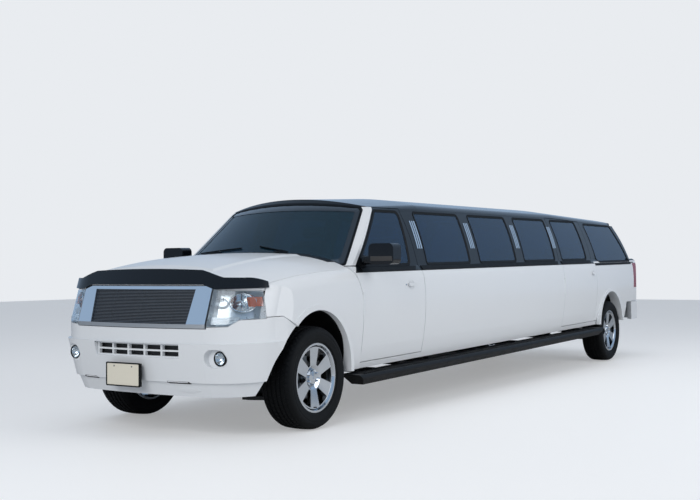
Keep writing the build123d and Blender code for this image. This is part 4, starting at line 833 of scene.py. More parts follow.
@dataclass
class Workshop:
    """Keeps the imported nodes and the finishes, and turns shapes into finished pieces."""

    nodes: dict[str, bpy.types.Object]
    repeater: Repeater = field(default_factory=Repeater)
    materials: dict[str, bpy.types.Material] = field(default_factory=dict)
    trees: dict[str, BVHTree] = field(default_factory=dict)
    pieces: int = 0

    def material(self, finish: Finish) -> bpy.types.Material:
        """The material of a finish, built once."""
        if finish.name not in self.materials:
            self.materials[finish.name] = finish.build()
        return self.materials[finish.name]

    def tree(self, node: str) -> BVHTree:
        """A node's faces in the car's own axes, for finding places on its skin."""
        if node not in self.trees:
            back = STANCE.inverted()
            mesh = self.nodes[node].data
            self.trees[node] = BVHTree.FromPolygons(
                [back @ vertex.co for vertex in mesh.vertices], [tuple(p.vertices) for p in mesh.polygons])
        return self.trees[node]

    def skin(self, nodes: Sequence[str], start: Point, way: Point) -> Vector | None:
        """The first place that a straight line meets on any of some nodes.

        Args:
            nodes: Names of the nodes.
            start: Where the line starts.
            way: Its direction.

        Returns:
            The nearest place, or None.
        """
        best = None
        for node in nodes:
            place, _, _, distance = self.tree(node).ray_cast(Vector(start), Vector(way).normalized(), 20.0)
            if place is not None and (best is None or distance < best[0]):
                best = (distance, place)
        return best[1] if best else None

    def around(self, nodes: Sequence[str], start: Point, way: Point, first: int, second: int) -> list[Vector]:
        """Places that a line and its four close neighbours meet, so that no thin joint is missed.

        Args:
            nodes: Names of the nodes.
            start: Where the middle line starts.
            way: The lines' direction.
            first: One axis across the lines.
            second: The other axis.

        Returns:
            The places that were met.
        """
        found = []
        for a, b in ((0.0, 0.0), (PROBE, 0.0), (-PROBE, 0.0), (0.0, PROBE), (0.0, -PROBE)):
            beside = list(start)
            beside[first] += a
            beside[second] += b
            place = self.skin(nodes, tuple(beside), way)
            if place is not None:
                found.append(place)
        return found

    def flank(self, nodes: Sequence[str], along: float, up: float, spare: float = 0.93) -> float:
        """How far out the left skin of some nodes lies at a place."""
        places = [place.x for place in self.around(nodes, (2.0, along, up), (-1.0, 0.0, 0.0), 1, 2)]
        return max(places) if places and max(places) > 0.3 else spare

    def face(self, nodes: Sequence[str], across: float, up: float, spare: float = NOSE) -> float:
        """How far forward the front skin of some nodes lies at a place."""
        places = [place.y for place in self.around(nodes, (across, -3.0, up), (0.0, 1.0, 0.0), 0, 2)]
        return min(places) if places else spare

    def back(self, nodes: Sequence[str], across: float, up: float, spare: float = TAIL) -> float:
        """How far back the rear skin of some nodes lies at a place."""
        places = [place.y for place in self.around(nodes, (across, 10.0, up), (0.0, -1.0, 0.0), 0, 2)]
        return max(places) if places else spare

    def top(self, nodes: Sequence[str], across: float, along: float, start: float, spare: float) -> float:
        """How high the upper skin of some nodes lies at a place, looked for downwards from a start."""
        place = self.skin(nodes, (across, along, start), (0.0, 0.0, -1.0))
        return place.z if place is not None else spare

    def put(self, name: str, shape: Shape, finish: Finish, body: Body = Body.CHASSIS, bevel: float = 0.0,
            smooth: float = 35.0, thick: float = 0.0, standing: bool = True) -> bpy.types.Object:
        """Makes a finished piece of a shape and sets it on its body.

        Args:
            name: The piece's name.
            shape: Its shape in the car's own axes.
            finish: What it is made of.
            body: The body that carries it.
            bevel: Radius of its rounded edges.
            smooth: Edges under this angle in degrees look smooth.
            thick: Wall thickness for a bare skin.
            standing: Whether the shape still has to be set on the wheels.

        Returns:
            The piece.
        """
        mesh = bpy.data.meshes.new(name)
        mesh.from_pydata(shape.points, [], shape.faces)
        work = bmesh.new()
        work.from_mesh(mesh)
        if standing:
            work.transform(STANCE)
        bmesh.ops.remove_doubles(work, verts=work.verts, dist=WELD)
        bmesh.ops.recalc_face_normals(work, faces=work.faces)
        work.to_mesh(mesh)
        work.free()
        piece = bpy.data.objects.new(name, mesh)
        bpy.context.scene.collection.objects.link(piece)
        if thick or bevel:
            self.walled(piece, thick, bevel)
            bpy.data.meshes.remove(mesh)
            piece.data.name = name
        piece.data.materials.clear()
        piece.data.materials.append(self.material(finish))
        piece.data.shade_smooth()
        piece.data.set_sharp_from_angle(angle=math.radians(smooth))
        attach(piece, body.value)
        self.pieces += 1
        LOG.info("%s: %s, %d faces, on %s", name, finish.name, len(piece.data.polygons), body.value)
        return piece

    def walled(self, piece: bpy.types.Object, thick: float, bevel: float) -> None:
        """Gives a piece its wall and its rounded edges, and keeps the result as its mesh.

        Args:
            piece: The piece.
            thick: Wall thickness, or nothing.
            bevel: Radius of the edges, or nothing.
        """
        if thick:
            wall = piece.modifiers.new("wall", "SOLIDIFY")
            wall.thickness = thick
            wall.offset = -1.0
        if bevel:
            edges = piece.modifiers.new("edges", "BEVEL")
            edges.width = bevel
            edges.segments = BEVEL_STEPS
            edges.limit_method = "ANGLE"
            edges.angle_limit = math.radians(BEVEL_ANGLE)
        bpy.context.view_layer.update()
        shown = piece.evaluated_get(bpy.context.evaluated_depsgraph_get())
        made = bpy.data.meshes.new_from_object(shown)
        piece.modifiers.clear()
        piece.data = made

    def pair(self, name: str, shape: Shape, finish: Finish, carrier: str = "", bevel: float = 0.0,
             smooth: float = 35.0, thick: float = 0.0) -> list[bpy.types.Object]:
        """Makes a left piece and its mirror image.

        Args:
            name: The pieces' name before the side's word.
            shape: The left shape.
            finish: What they are made of.
            carrier: Name of the bodies before the side's word, or nothing for the chassis.
            bevel: Radius of the rounded edges.
            smooth: Edges under this angle in degrees look smooth.
            thick: Wall thickness for a bare skin.

        Returns:
            The left piece and the right piece.
        """
        return [self.put(f"{name}_{side.word}", shape.on(side), finish,
                         Body(f"{carrier}_{side.word}") if carrier else Body.CHASSIS, bevel, smooth, thick)
                for side in Side]


@dataclass
class Assembly:
    """One sub-assembly: its sizes, and the workshop that makes its pieces."""

    shop: Workshop

    def build(self) -> None:
        """Makes the pieces."""
        raise NotImplementedError


# Windows

@dataclass
class WindowSeals(Assembly):
    """Rubber channels round every pane, and the fired black edge of the windshield."""

    outside: float = 0.011
    inside: float = 0.016
    height: float = 0.0035
    sink: float = 0.0015
    stray: float = 0.012
    reach: int = 4
    sweeps: int = 3
    first_window: float = 1.8815
    doors: tuple[tuple[str, float, float, float, float], ...] = (
        ("front_door", 0.688, 1.560, 1.612, 1.220), ("rear_door", 5.298, 6.148, 6.108, 5.263))
    quarter: tuple[Flat, ...] = ((6.523, 1.205), (7.858, 1.205), (7.503, 1.690), (6.423, 1.700))
    windshield: tuple[Flat, ...] = (
        (-0.868, 1.250), (0.868, 1.250), (0.715, 1.722), (0.684, 1.752), (-0.684, 1.752), (-0.715, 1.722))
    gate_window: tuple[Flat, ...] = ((-0.665, 1.225), (0.665, 1.225), (0.610, 1.700), (-0.610, 1.700))
    arch_start: float = 1.66
    arch_run: float = 0.09
    arch_rise: float = 0.05

    def build(self) -> None:
        """Seals every window."""
        for name, *along in self.doors:
            corners = tuple(zip(along, (WINDOW_LOW, WINDOW_LOW, WINDOW_HIGH, WINDOW_HIGH)))
            ring = self.ring((name + "_left", name + "_glass_left"), corners, 0.045)
            self.shop.pair(name + "_window_seal", ring, SEAL_RUBBER, name, smooth=50.0)
        fixed = Shape()
        for index in range(STRETCH_WINDOWS):
            start = self.first_window + index * STRETCH_PITCH
            end = start + STRETCH_LENGTH
            corners = ((start, WINDOW_LOW), (end, WINDOW_LOW), (end, WINDOW_HIGH), (start, WINDOW_HIGH))
            fixed.join(self.ring(("side_panel_left", "fixed_glass"), corners, 0.035))
        fixed.join(self.ring(("quarter_panel_left", "fixed_glass"), self.quarter, 0.045))
        self.shop.pair("fixed_window_seals", fixed, SEAL_RUBBER, smooth=50.0)
        self.screen()
        self.gate()

    def steadied(self, depths: Sequence[float]) -> list[float]:
        """Puts a depth that strays back to the middle value of its neighbours.

        Args:
            depths: Depths round a ring.

        Returns:
            The steadied depths.
        """
        result = []
        for index, depth in enumerate(depths):
            near = sorted(depths[(index + step) % len(depths)] for step in range(-self.reach, self.reach + 1))
            middle = near[self.reach]
            result.append(middle if abs(depth - middle) > self.stray else depth)
        return result

    def ring(self, nodes: Sequence[str], corners: Sequence[Flat], radius: float) -> Shape:
        """One channel on the left side, laid on the panel and over the pane's edge.

        Args:
            nodes: The panel and the pane.
            corners: The window's corners as place along and height.
            radius: Corner radius.

        Returns:
            The channel.
        """
        rows = []
        for offset, lift in ((self.outside, -self.sink), (self.outside * 0.7, self.height),
                             (-self.inside * 0.1, self.height), (-self.inside, 0.0012),
                             (-self.inside, -self.sink), (0.0, -self.sink)):
            outline = rounded(grown(corners, offset), radius + offset * 0.9)
            depths = [self.shop.flank(nodes, y, z) for y, z in outline]
            for _ in range(self.sweeps):
                depths = self.steadied(depths)
            rows.append([(depth + lift, y, z) for depth, (y, z) in zip(depths, outline)])
        return skinned(rows, looped=True)

    def screen(self) -> None:
        """Lays the fired black edge and the rubber moulding round the windshield."""
        around = ("windshield", "front_pillars", "cowl", "roof_panel")
        for name, nodes, finish, radius, ease, section in (
                ("windshield_moulding", around, SEAL_RUBBER, 0.014, 0.0,
                 ((0.006, 0.002), (0.002, -0.004), (-0.010, -0.004), (-0.012, 0.001))),
                ("windshield_black_edge", ("windshield",), GLASS_FRIT, 0.03, 0.2,
                 ((-0.003, 0.0), (-0.003, -0.0012), (-0.046, -0.0012), (-0.046, 0.0)))):
            rows = []
            for offset, lift in section:
                outline = rounded(grown(self.windshield, offset), radius + offset * ease, steps=4, along=9)
                rows.append([(x, self.shop.face(nodes, x, self.arched(x, z), 0.5) + lift, self.arched(x, z))
                             for x, z in outline])
            self.shop.put(name, skinned(rows, looped=True), finish, smooth=50.0)

    def arched(self, across: float, up: float) -> float:
        """Raises the top edge in the middle as the roof header does."""
        rise = max(0.0, (up - self.arch_start) / self.arch_run)
        bow = 1.0 - min(1.0, abs(across) / self.windshield[3][0]) ** 2
        return up + self.arch_rise * min(1.0, rise) * bow

    def gate(self) -> None:
        """Seals the rear window in the gate."""
        rows = []
        for offset, lift in ((0.012, -0.001), (0.009, 0.0035), (-0.003, 0.0035), (-0.018, 0.001),
                             (-0.018, -0.001), (0.0, -0.001)):
            outline = rounded(grown(self.gate_window, offset), 0.05 + offset * 0.9, along=9)
            rows.append([(x, self.shop.back(("liftgate", "rear_glass"), x, z, 7.9) + lift, z)
                         for x, z in outline])
        self.shop.put("rear_window_seal", skinned(rows, looped=True), SEAL_RUBBER, Body.LIFTGATE, smooth=50.0)


@dataclass
class BeltMouldings(Assembly):
    """Black strips along the belt, one on each panel so that the doors can open."""

    end_gap: float = 0.006
    pitch: float = 0.12
    section: tuple[Flat, ...] = (
        (0.0, -0.002), (0.06, 0.0035), (0.3, 0.005), (0.7, 0.005), (0.94, 0.0035), (1.0, -0.002))
    panels: tuple[tuple[str, str, float, float, float, float], ...] = (
        ("front_door", "front_door", FRONT_DOOR[0] + 0.03, FRONT_DOOR[1], 1.188, 1.232),
        ("rear_door", "rear_door", REAR_DOOR[0], REAR_DOOR[1], 1.188, 1.232),
        ("side_panel", "", SIDE[0], SIDE[1], 1.188, 1.232),
        ("quarter_panel", "", REAR_DOOR[1] + 0.006, 7.93, 1.160, 1.192))

    def build(self) -> None:
        """Fits a strip on each panel."""
        for node, carrier, start, end, low, high in self.panels:
            strip = self.strip(node + "_left", start + self.end_gap, end - self.end_gap, low, high)
            self.shop.pair(node + "_belt_moulding", strip, SEAL_RUBBER, carrier, smooth=40.0)

    def strip(self, node: str, start: float, end: float, low: float, high: float) -> Shape:
        """A strip on the left side of one panel.

        Args:
            node: The panel.
            start: Front end.
            end: Rear end.
            low: Lower edge.
            high: Upper edge.

        Returns:
            The strip.
        """
        rows = []
        for y in spread(start, end, max(2, int((end - start) / self.pitch)) + 1):
            heights = [(low + (high - low) * share, lift) for share, lift in self.section]
            rows.append([(self.shop.flank((node,), y, z) + lift, y, z) for z, lift in heights])
        return skinned(rows)


# Front end

@dataclass
class Grille(Assembly):
    """Fine bowed slats in the bright surround, over a dark screen."""

    slats: int = 23
    low: float = 0.858
    high: float = 1.093
    half_low: float = 0.4765
    half_high: float = 0.4995
    lean: float = 0.343
    depth: float = 0.012
    height: float = 0.0052
    samples: int = 19
    sample_inset: float = 0.02
    probes: int = 12
    probe_step: float = 0.004
    screen_gap: float = 0.030
    carrier_half: float = 0.006
    carrier_depth: float = 0.008

    def build(self) -> None:
        """Sets the slats and what stands behind them."""
        reach = self.half_low - self.sample_inset
        front = [(x, self.front(x)) for x in spread(-reach, reach, self.samples)]
        path = [(x * self.half_low / reach, y) for x, y in front]
        half = self.height / 2
        slat = skinned([[(x, y + 0.001, -half), (x, y + 0.0005, 0.0), (x, y + 0.001, half),
                         (x, y + self.depth, half), (x, y + self.depth, -half)] for x, y in path])
        pitch = (self.high - self.low) / (self.slats - 1)
        growth = (self.half_high / self.half_low - 1.0) / (self.slats - 1)
        copies = self.shop.repeater.row(slat, self.slats, (0.0, self.lean * pitch, pitch),
                                        growth=(growth, 0.0, 0.0))
        piece = self.shop.put("grille_slats", copies.moved(0.0, 0.001, self.low), GRILLE_METAL)
        self.shop.put("grille_slat_carriers", self.carriers([y for _, y in front]), BLACK_PLASTIC)
        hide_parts("grille_bars")
        rows = []
        for z in (self.low - 0.006, self.high + 0.006):
            share = (z - self.low) / (self.high - self.low)
            wide = (self.half_low + (self.half_high - self.half_low) * share) / self.half_low
            back = self.screen_gap + self.lean * (z - self.low)
            rows.append(backed([(x * wide, y + back, z) for x, y in path], 0.003))
        self.shop.put("grille_screen", skinned(rows), BLACK_PLASTIC)
        self.lower()

    def front(self, across: float) -> float:
        """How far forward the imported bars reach, with their lean taken out."""
        steps = [self.probe_step * index for index in range(self.probes)]
        return min(self.shop.face(("grille_bars", "grille_surround"), across, self.low + step, 0.0)
                   - self.lean * step for step in steps)

    def carriers(self, front: Sequence[float]) -> Shape:
        """The three uprights behind the slats.

        Args:
            front: How far forward the slats reach at each sample.

        Returns:
            The uprights.
        """
        shape = Shape()
        last = self.samples - 1
        for x in (-0.30, 0.0, 0.30):
            y = front[round((x + self.half_low) / (2 * self.half_low) * last)] if x else min(front)
            rows = []
            for z in (self.low - 0.004, self.high + 0.004):
                near = y + self.depth + self.lean * (z - self.low)
                far = near + self.carrier_depth
                rows.append([(x - self.carrier_half, near, z), (x + self.carrier_half, near, z),
                             (x + self.carrier_half, far, z), (x - self.carrier_half, far, z)])
            shape.join(skinned(rows))
        return shape

    def lower(self) -> None:
        """Closes the bumper's air opening behind its grid."""
        nodes = ("front_bumper", "bumper_grille")
        places = [(x, self.shop.face(nodes, x, 0.590, NOSE + 0.02) + 0.085)
                  for x in spread(-0.430, 0.430, 13)]
        rows = [backed([(x, y, z) for x, y in places], 0.004) for z in (0.600, 0.712)]
        self.shop.put("bumper_mouth_screen", skinned(rows), BLACK_PLASTIC)


@dataclass
class Headlamps(Assembly):
    """Clear lamp covers over plated bowls, with amber markers, ribbed signals and round fog lamps."""

    bowl: Point = (0.822, -0.790, 1.000)
    bowl_radius: float = 0.074
    bowl_depth: float = 0.060
    bowl_wide: float = 1.22
    bowl_tall: float = 0.84
    bowl_turn: float = -56.0
    rim_radius: float = 0.084
    rim_front: float = 0.006
    clearance: float = 0.010
    low_beam: Point = (-0.02, -0.128, -0.004)
    low_beam_size: float = 0.55
    cover: float = 0.004
    housing: float = 0.002
    cover_low: float = 0.8
    cover_back: float = -0.601
    corner_across: float = 0.86
    seen_gap: float = 0.002
    marker: tuple[float, float, float, float] = (-0.692, -0.606, 0.972, 1.040)
    signal_heights: tuple[float, ...] = (0.850, 0.862, 0.890, 0.900)
    fog: Point = (0.728, -0.855, 0.607)
    fog_radius: float = 0.054
    fog_depth: float = 0.040

    def build(self) -> None:
        """Fits both sides."""
        cover, housing = self.covers()
        to_front = self.aim()
        bowls = self.bowls().turned(to_front)
        bowls.join(self.bowls(self.low_beam_size).turned(to_front @ Matrix.Translation(self.low_beam)))
        bulb = lathed([(-0.045, 0.001), (-0.045, 0.011), (-0.020, 0.011), (-0.012, 0.007),
                       (-0.010, 0.001)], 20)
        rim = lathed([(-0.004, 0.072), (0.004, 0.074), (self.rim_front, 0.080), (0.0, self.rim_radius),
                      (-0.006, 0.080)], 48)
        pieces = self.shop.pair("headlamp_cover", cover, LENS, smooth=50.0, thick=self.cover)
        self.shop.pair("headlamp_housing", housing, LAMP_BODY, smooth=50.0, thick=self.housing)
        self.shop.pair("headlamp_bowl", bowls, REFLECTOR, smooth=60.0)
        self.shop.pair("headlamp_ring", rim.turned(to_front), BRIGHT_TRIM, smooth=60.0)
        self.shop.pair("headlamp_bulb", bulb.turned(to_front), LENS, smooth=50.0)
        self.shop.pair("turn_signal", self.signal(), CLEAR_RIBBED)
        self.shop.pair("side_marker", self.marker_lamp(), AMBER_LENS)
        self.fog_lamp()
        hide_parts("headlamps")

    def covers(self) -> tuple[Shape, Shape]:
        """Parts the lamp's block into its outer cover and the housing behind it.

        Returns:
            The cover and the housing of the left lamp.
        """
        work = bmesh.new()
        work.from_mesh(self.shop.nodes["headlamps"].data)
        work.transform(STANCE.inverted())
        bmesh.ops.remove_doubles(work, verts=work.verts, dist=1e-5)
        outer = Shape()
        inner = Shape()
        for face in work.faces:
            middle = face.calc_center_median()
            if middle.x < 0.0 or middle.z < self.cover_low:
                continue
            corners = [tuple(vert.co) for vert in face.verts]
            out = face.normal
            probe = self.shop.skin(("headlamps",), tuple(middle + out * 0.4), tuple(-out))
            seen = probe is not None and (probe - middle).length < self.seen_gap
            aside = out.x > 0.5 and abs(out.z) < 0.6 and middle.x > self.corner_across
            facing = (out.y < -0.25 or aside) and middle.y < self.cover_back
            target = outer if seen and facing else inner
            target.add(corners, [tuple(range(len(corners)))])
        work.free()
        return outer, inner

    def bowls(self, scale: float = 1.0) -> Shape:
        """A plated bowl, open to the front, about an axle along X."""
        return dish([(-self.bowl_depth * (1.0 - share ** 2), max(0.004, self.bowl_radius * share) * scale)
                     for share in spread(0.0, 1.0, 11)], 40)

    def aim(self) -> Matrix:
        """Places the bowl so far back that its rim clears the lamp's cover.

        Returns:
            The placement of pieces turned about the X axis.
        """
        turned = Matrix.Rotation(math.radians(self.bowl_turn), 4, "Z") \
            @ Matrix.Diagonal((1.0, self.bowl_wide, self.bowl_tall, 1.0))
        back = 0.0
        for step in range(24):
            angle = 2.0 * math.pi * step / 24
            rim = Vector((self.rim_front, self.rim_radius * math.cos(angle),
                          self.rim_radius * math.sin(angle)))
            place = Vector(self.bowl) + turned @ rim
            cover = self.shop.face(("headlamps",), place.x, place.z, place.y)
            back = max(back, cover + self.clearance - place.y)
        return Matrix.Translation((self.bowl[0], self.bowl[1] + back, self.bowl[2])) @ turned

    def signal(self) -> Shape:
        """The ribbed turn signal low in the left lamp."""
        rows = []
        for z in self.signal_heights:
            line = []
            for x in spread(0.668, 0.833, 9):
                probe = max(z, 0.895) if x > 0.8 else z
                line.append((x, self.shop.face(("headlamps",), x, probe, -0.8) + 0.016, z))
            rows.append(backed(line, 0.020))
        return skinned(rows)

    def marker_lamp(self) -> Shape:
        """The amber marker in the left lamp's outer end."""
        start, end, low, high = self.marker
        rows = []
        for y in spread(start, end, 7):
            ring = [(self.shop.flank(("headlamps",), y, z, 0.93) - 0.009, y, z) for z in spread(low, high, 3)]
            rows.append(ring + [(x - 0.022, y, z) for x, _, z in reversed(ring)])
        return skinned(rows)

    def fog_lamp(self) -> None:
        """Fits a round fog lamp in each of the bumper's corners."""
        place = Matrix.Translation(self.fog) @ Matrix.Rotation(math.radians(-90.0), 4, "Z")
        r = self.fog_radius
        glass = lathed([(0.0060, 0.0005), (0.0045, r * 0.45), (0.0, r * 0.86), (-0.003, r * 0.86),
                        (0.0010, r * 0.45), (0.0030, 0.0005)], 40)
        ring = lathed([(-0.012, r * 0.86), (0.003, r * 0.86), (0.0055, r * 0.92), (0.003, r - 0.0006),
                       (-0.012, r - 0.0006)], 40)
        bowl = dish([(-self.fog_depth * (1.0 - share ** 2), max(0.003, r * 0.84 * share))
                     for share in spread(0.0, 1.0, 9)], 36)
        for name, shape, finish in (("cover", glass, LENS), ("ring", ring, BLACK_PLASTIC),
                                    ("bowl", bowl, REFLECTOR)):
            self.shop.pair("fog_lamp_" + name, shape.turned(place), finish, smooth=60.0)


@dataclass
class BumperFittings(Assembly):
    """Slots and the tow cover of the bumper's lower band, and the blank front plate."""

    slots: tuple[Flat, ...] = ((-0.601, -0.449), (0.275, 0.477))
    slot_low: float = 0.417
    slot_high: float = 0.436
    cover: Flat = (0.444, 0.372)
    cover_half: float = 0.095
    cover_rise: float = 0.021
    cover_points: int = 48
    cover_step: float = 0.1309
    lip: float = 0.009
    screw_across: float = 0.089
    screw_drop: float = 0.028

    def build(self) -> None:
        """Fits them."""
        dark = Shape()
        for left, right in self.slots:
            corners = ((left, self.slot_low), (right, self.slot_low), (right, self.slot_high),
                       (left, self.slot_high))
            dark.join(self.patch(rounded(corners, 0.008, 4, 4), 0.0008, 0.002))
        self.shop.put("bumper_slots", dark, BLACK_PLASTIC)
        across, up = self.cover
        turns = [self.cover_step * step for step in range(self.cover_points)]
        oval = [(across + self.cover_half * math.cos(turn), up + self.cover_rise * math.sin(turn))
                for turn in turns]
        self.shop.put("tow_eye_cover", self.patch(oval, 0.0022, 0.001), WHITE_PAINT, bevel=0.001)
        self.plate()

    def patch(self, outline: Sequence[Flat], lift: float, sink: float) -> Shape:
        """A thin patch that follows the bumper.

        Args:
            outline: Its outline, across and up.
            lift: How far it stands out.
            sink: How far its back reaches in.

        Returns:
            The patch.
        """
        places = [(x, self.shop.face(("front_bumper",), x, z, -0.85), z) for x, z in outline]
        return skinned([[(x, y - lift, z) for x, y, z in places], [(x, y + sink, z) for x, y, z in places]])

    def plate(self) -> None:
        """Fits the carrier's frame, the blank plate and its two screws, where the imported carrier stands."""
        low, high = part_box("plate_holder")
        middle = (low[0] + high[0]) / 2.0
        front = low[1]
        wide = (high[0] - low[0]) / 2.0
        tall = high[2] - low[2]
        corner = (middle, front, low[2])
        outer, inner = (rounded(
            ((lip - wide, lip), (wide - lip, lip), (wide - lip, tall - lip), (lip - wide, tall - lip)),
            radius, 4, 2) for lip, radius in ((0.0, 0.010), (self.lip, 0.006)))
        ridge = [(a[0] + (b[0] - a[0]) * 0.2, a[1] + (b[1] - a[1]) * 0.2) for a, b in zip(outer, inner)]
        frame = layered(corner, ((outer, 0.012), (outer, 0.001), (ridge, 0.0), (inner, 0.0008),
                                 (inner, 0.012)), looped=True)
        frame.join(solid_box((middle - wide + 0.004, front + 0.0065, low[2] + 0.004),
                             (middle + wide - 0.004, min(high[1], front + 0.030), high[2] - 0.004)))
        holder = self.shop.put("plate_frame", frame, BLACK_PLASTIC, standing=False)
        blank = layered(corner, ((inner, 0.0045), (inner, 0.0062)))
        self.shop.put("front_plate", blank, PLATE_PAINT, standing=False)
        head = lathed([(0.0002, 0.0005), (0.0002, 0.0062), (0.0016, 0.0056), (0.0024, 0.0005)], 24)
        screws = Shape()
        for x in (-self.screw_across, self.screw_across):
            screws.join(head.turned(Matrix.Translation((middle + x, front + 0.0045,
                                                        low[2] + tall - self.screw_drop))
                                    @ Matrix.Rotation(math.radians(-90.0), 4, "Z")))
        self.shop.put("front_plate_screws", screws, BRAKE_STEEL, standing=False, smooth=30.0)
        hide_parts("plate_holder")


@dataclass
class Wipers(Assembly):
    """Two arms with blades at rest on the screen."""

    blades: tuple[tuple[Flat, Flat, Flat], ...] = (
        ((0.66, 1.285), (0.154, 1.394), (0.407, 1.352)), ((0.02, 1.290), (-0.60, 1.372), (-0.28, 1.394)))
    knee_rise: float = 0.006
    overhang: float = 0.12

    def build(self) -> None:
        """Fits them."""
        arms = Shape()
        rubbers = Shape()
        for root, far, near in self.blades:
            knee = ((root[0] + far[0]) / 2, (root[1] + far[1]) / 2 + self.knee_rise)
            middle = ((far[0] + near[0]) / 2, (far[1] + near[1]) / 2)
            arms.join(self.stick(root, knee, 0.016, 0.010), self.stick(knee, middle, 0.009, 0.016))
            along = (Vector(near) - Vector(far)).normalized() * self.overhang
            rubbers.join(self.stick(tuple(Vector(far) - along), tuple(Vector(near) + along), 0.010, 0.006))
        self.shop.put("wiper_arms", arms, BLACK_PLASTIC, bevel=0.002)
        self.shop.put("wiper_blades", rubbers, SEAL_RUBBER, bevel=0.001)

    def stick(self, start: Flat, end: Flat, wide: float, lift: float) -> Shape:
        """A thin bar over the screen.

        Args:
            start: One end, across and up.
            end: The other end.
            wide: Width.
            lift: Gap to the glass.

        Returns:
            The bar.
        """
        path = []
        for x, z in zip(spread(start[0], end[0], 9), spread(start[1], end[1], 9)):
            y = self.shop.face(("windshield", "cowl", "front_pillars"), x, z, 0.6)
            path.append((x, y - lift * 0.6, z + lift * 0.6))
        half = wide / 2
        section = ((-0.004, -half), (0.005, -half), (0.007, 0.0), (0.005, half), (-0.004, half))
        return bar(path, [(0.0, -0.6, 0.8)] * len(path), section)


# Wheels

def spun(across: float, radius: float, angle: float) -> Point:
    """A point at a radius from the axle, turned from the top by an angle."""
    return across, radius * math.sin(angle), radius * math.cos(angle)


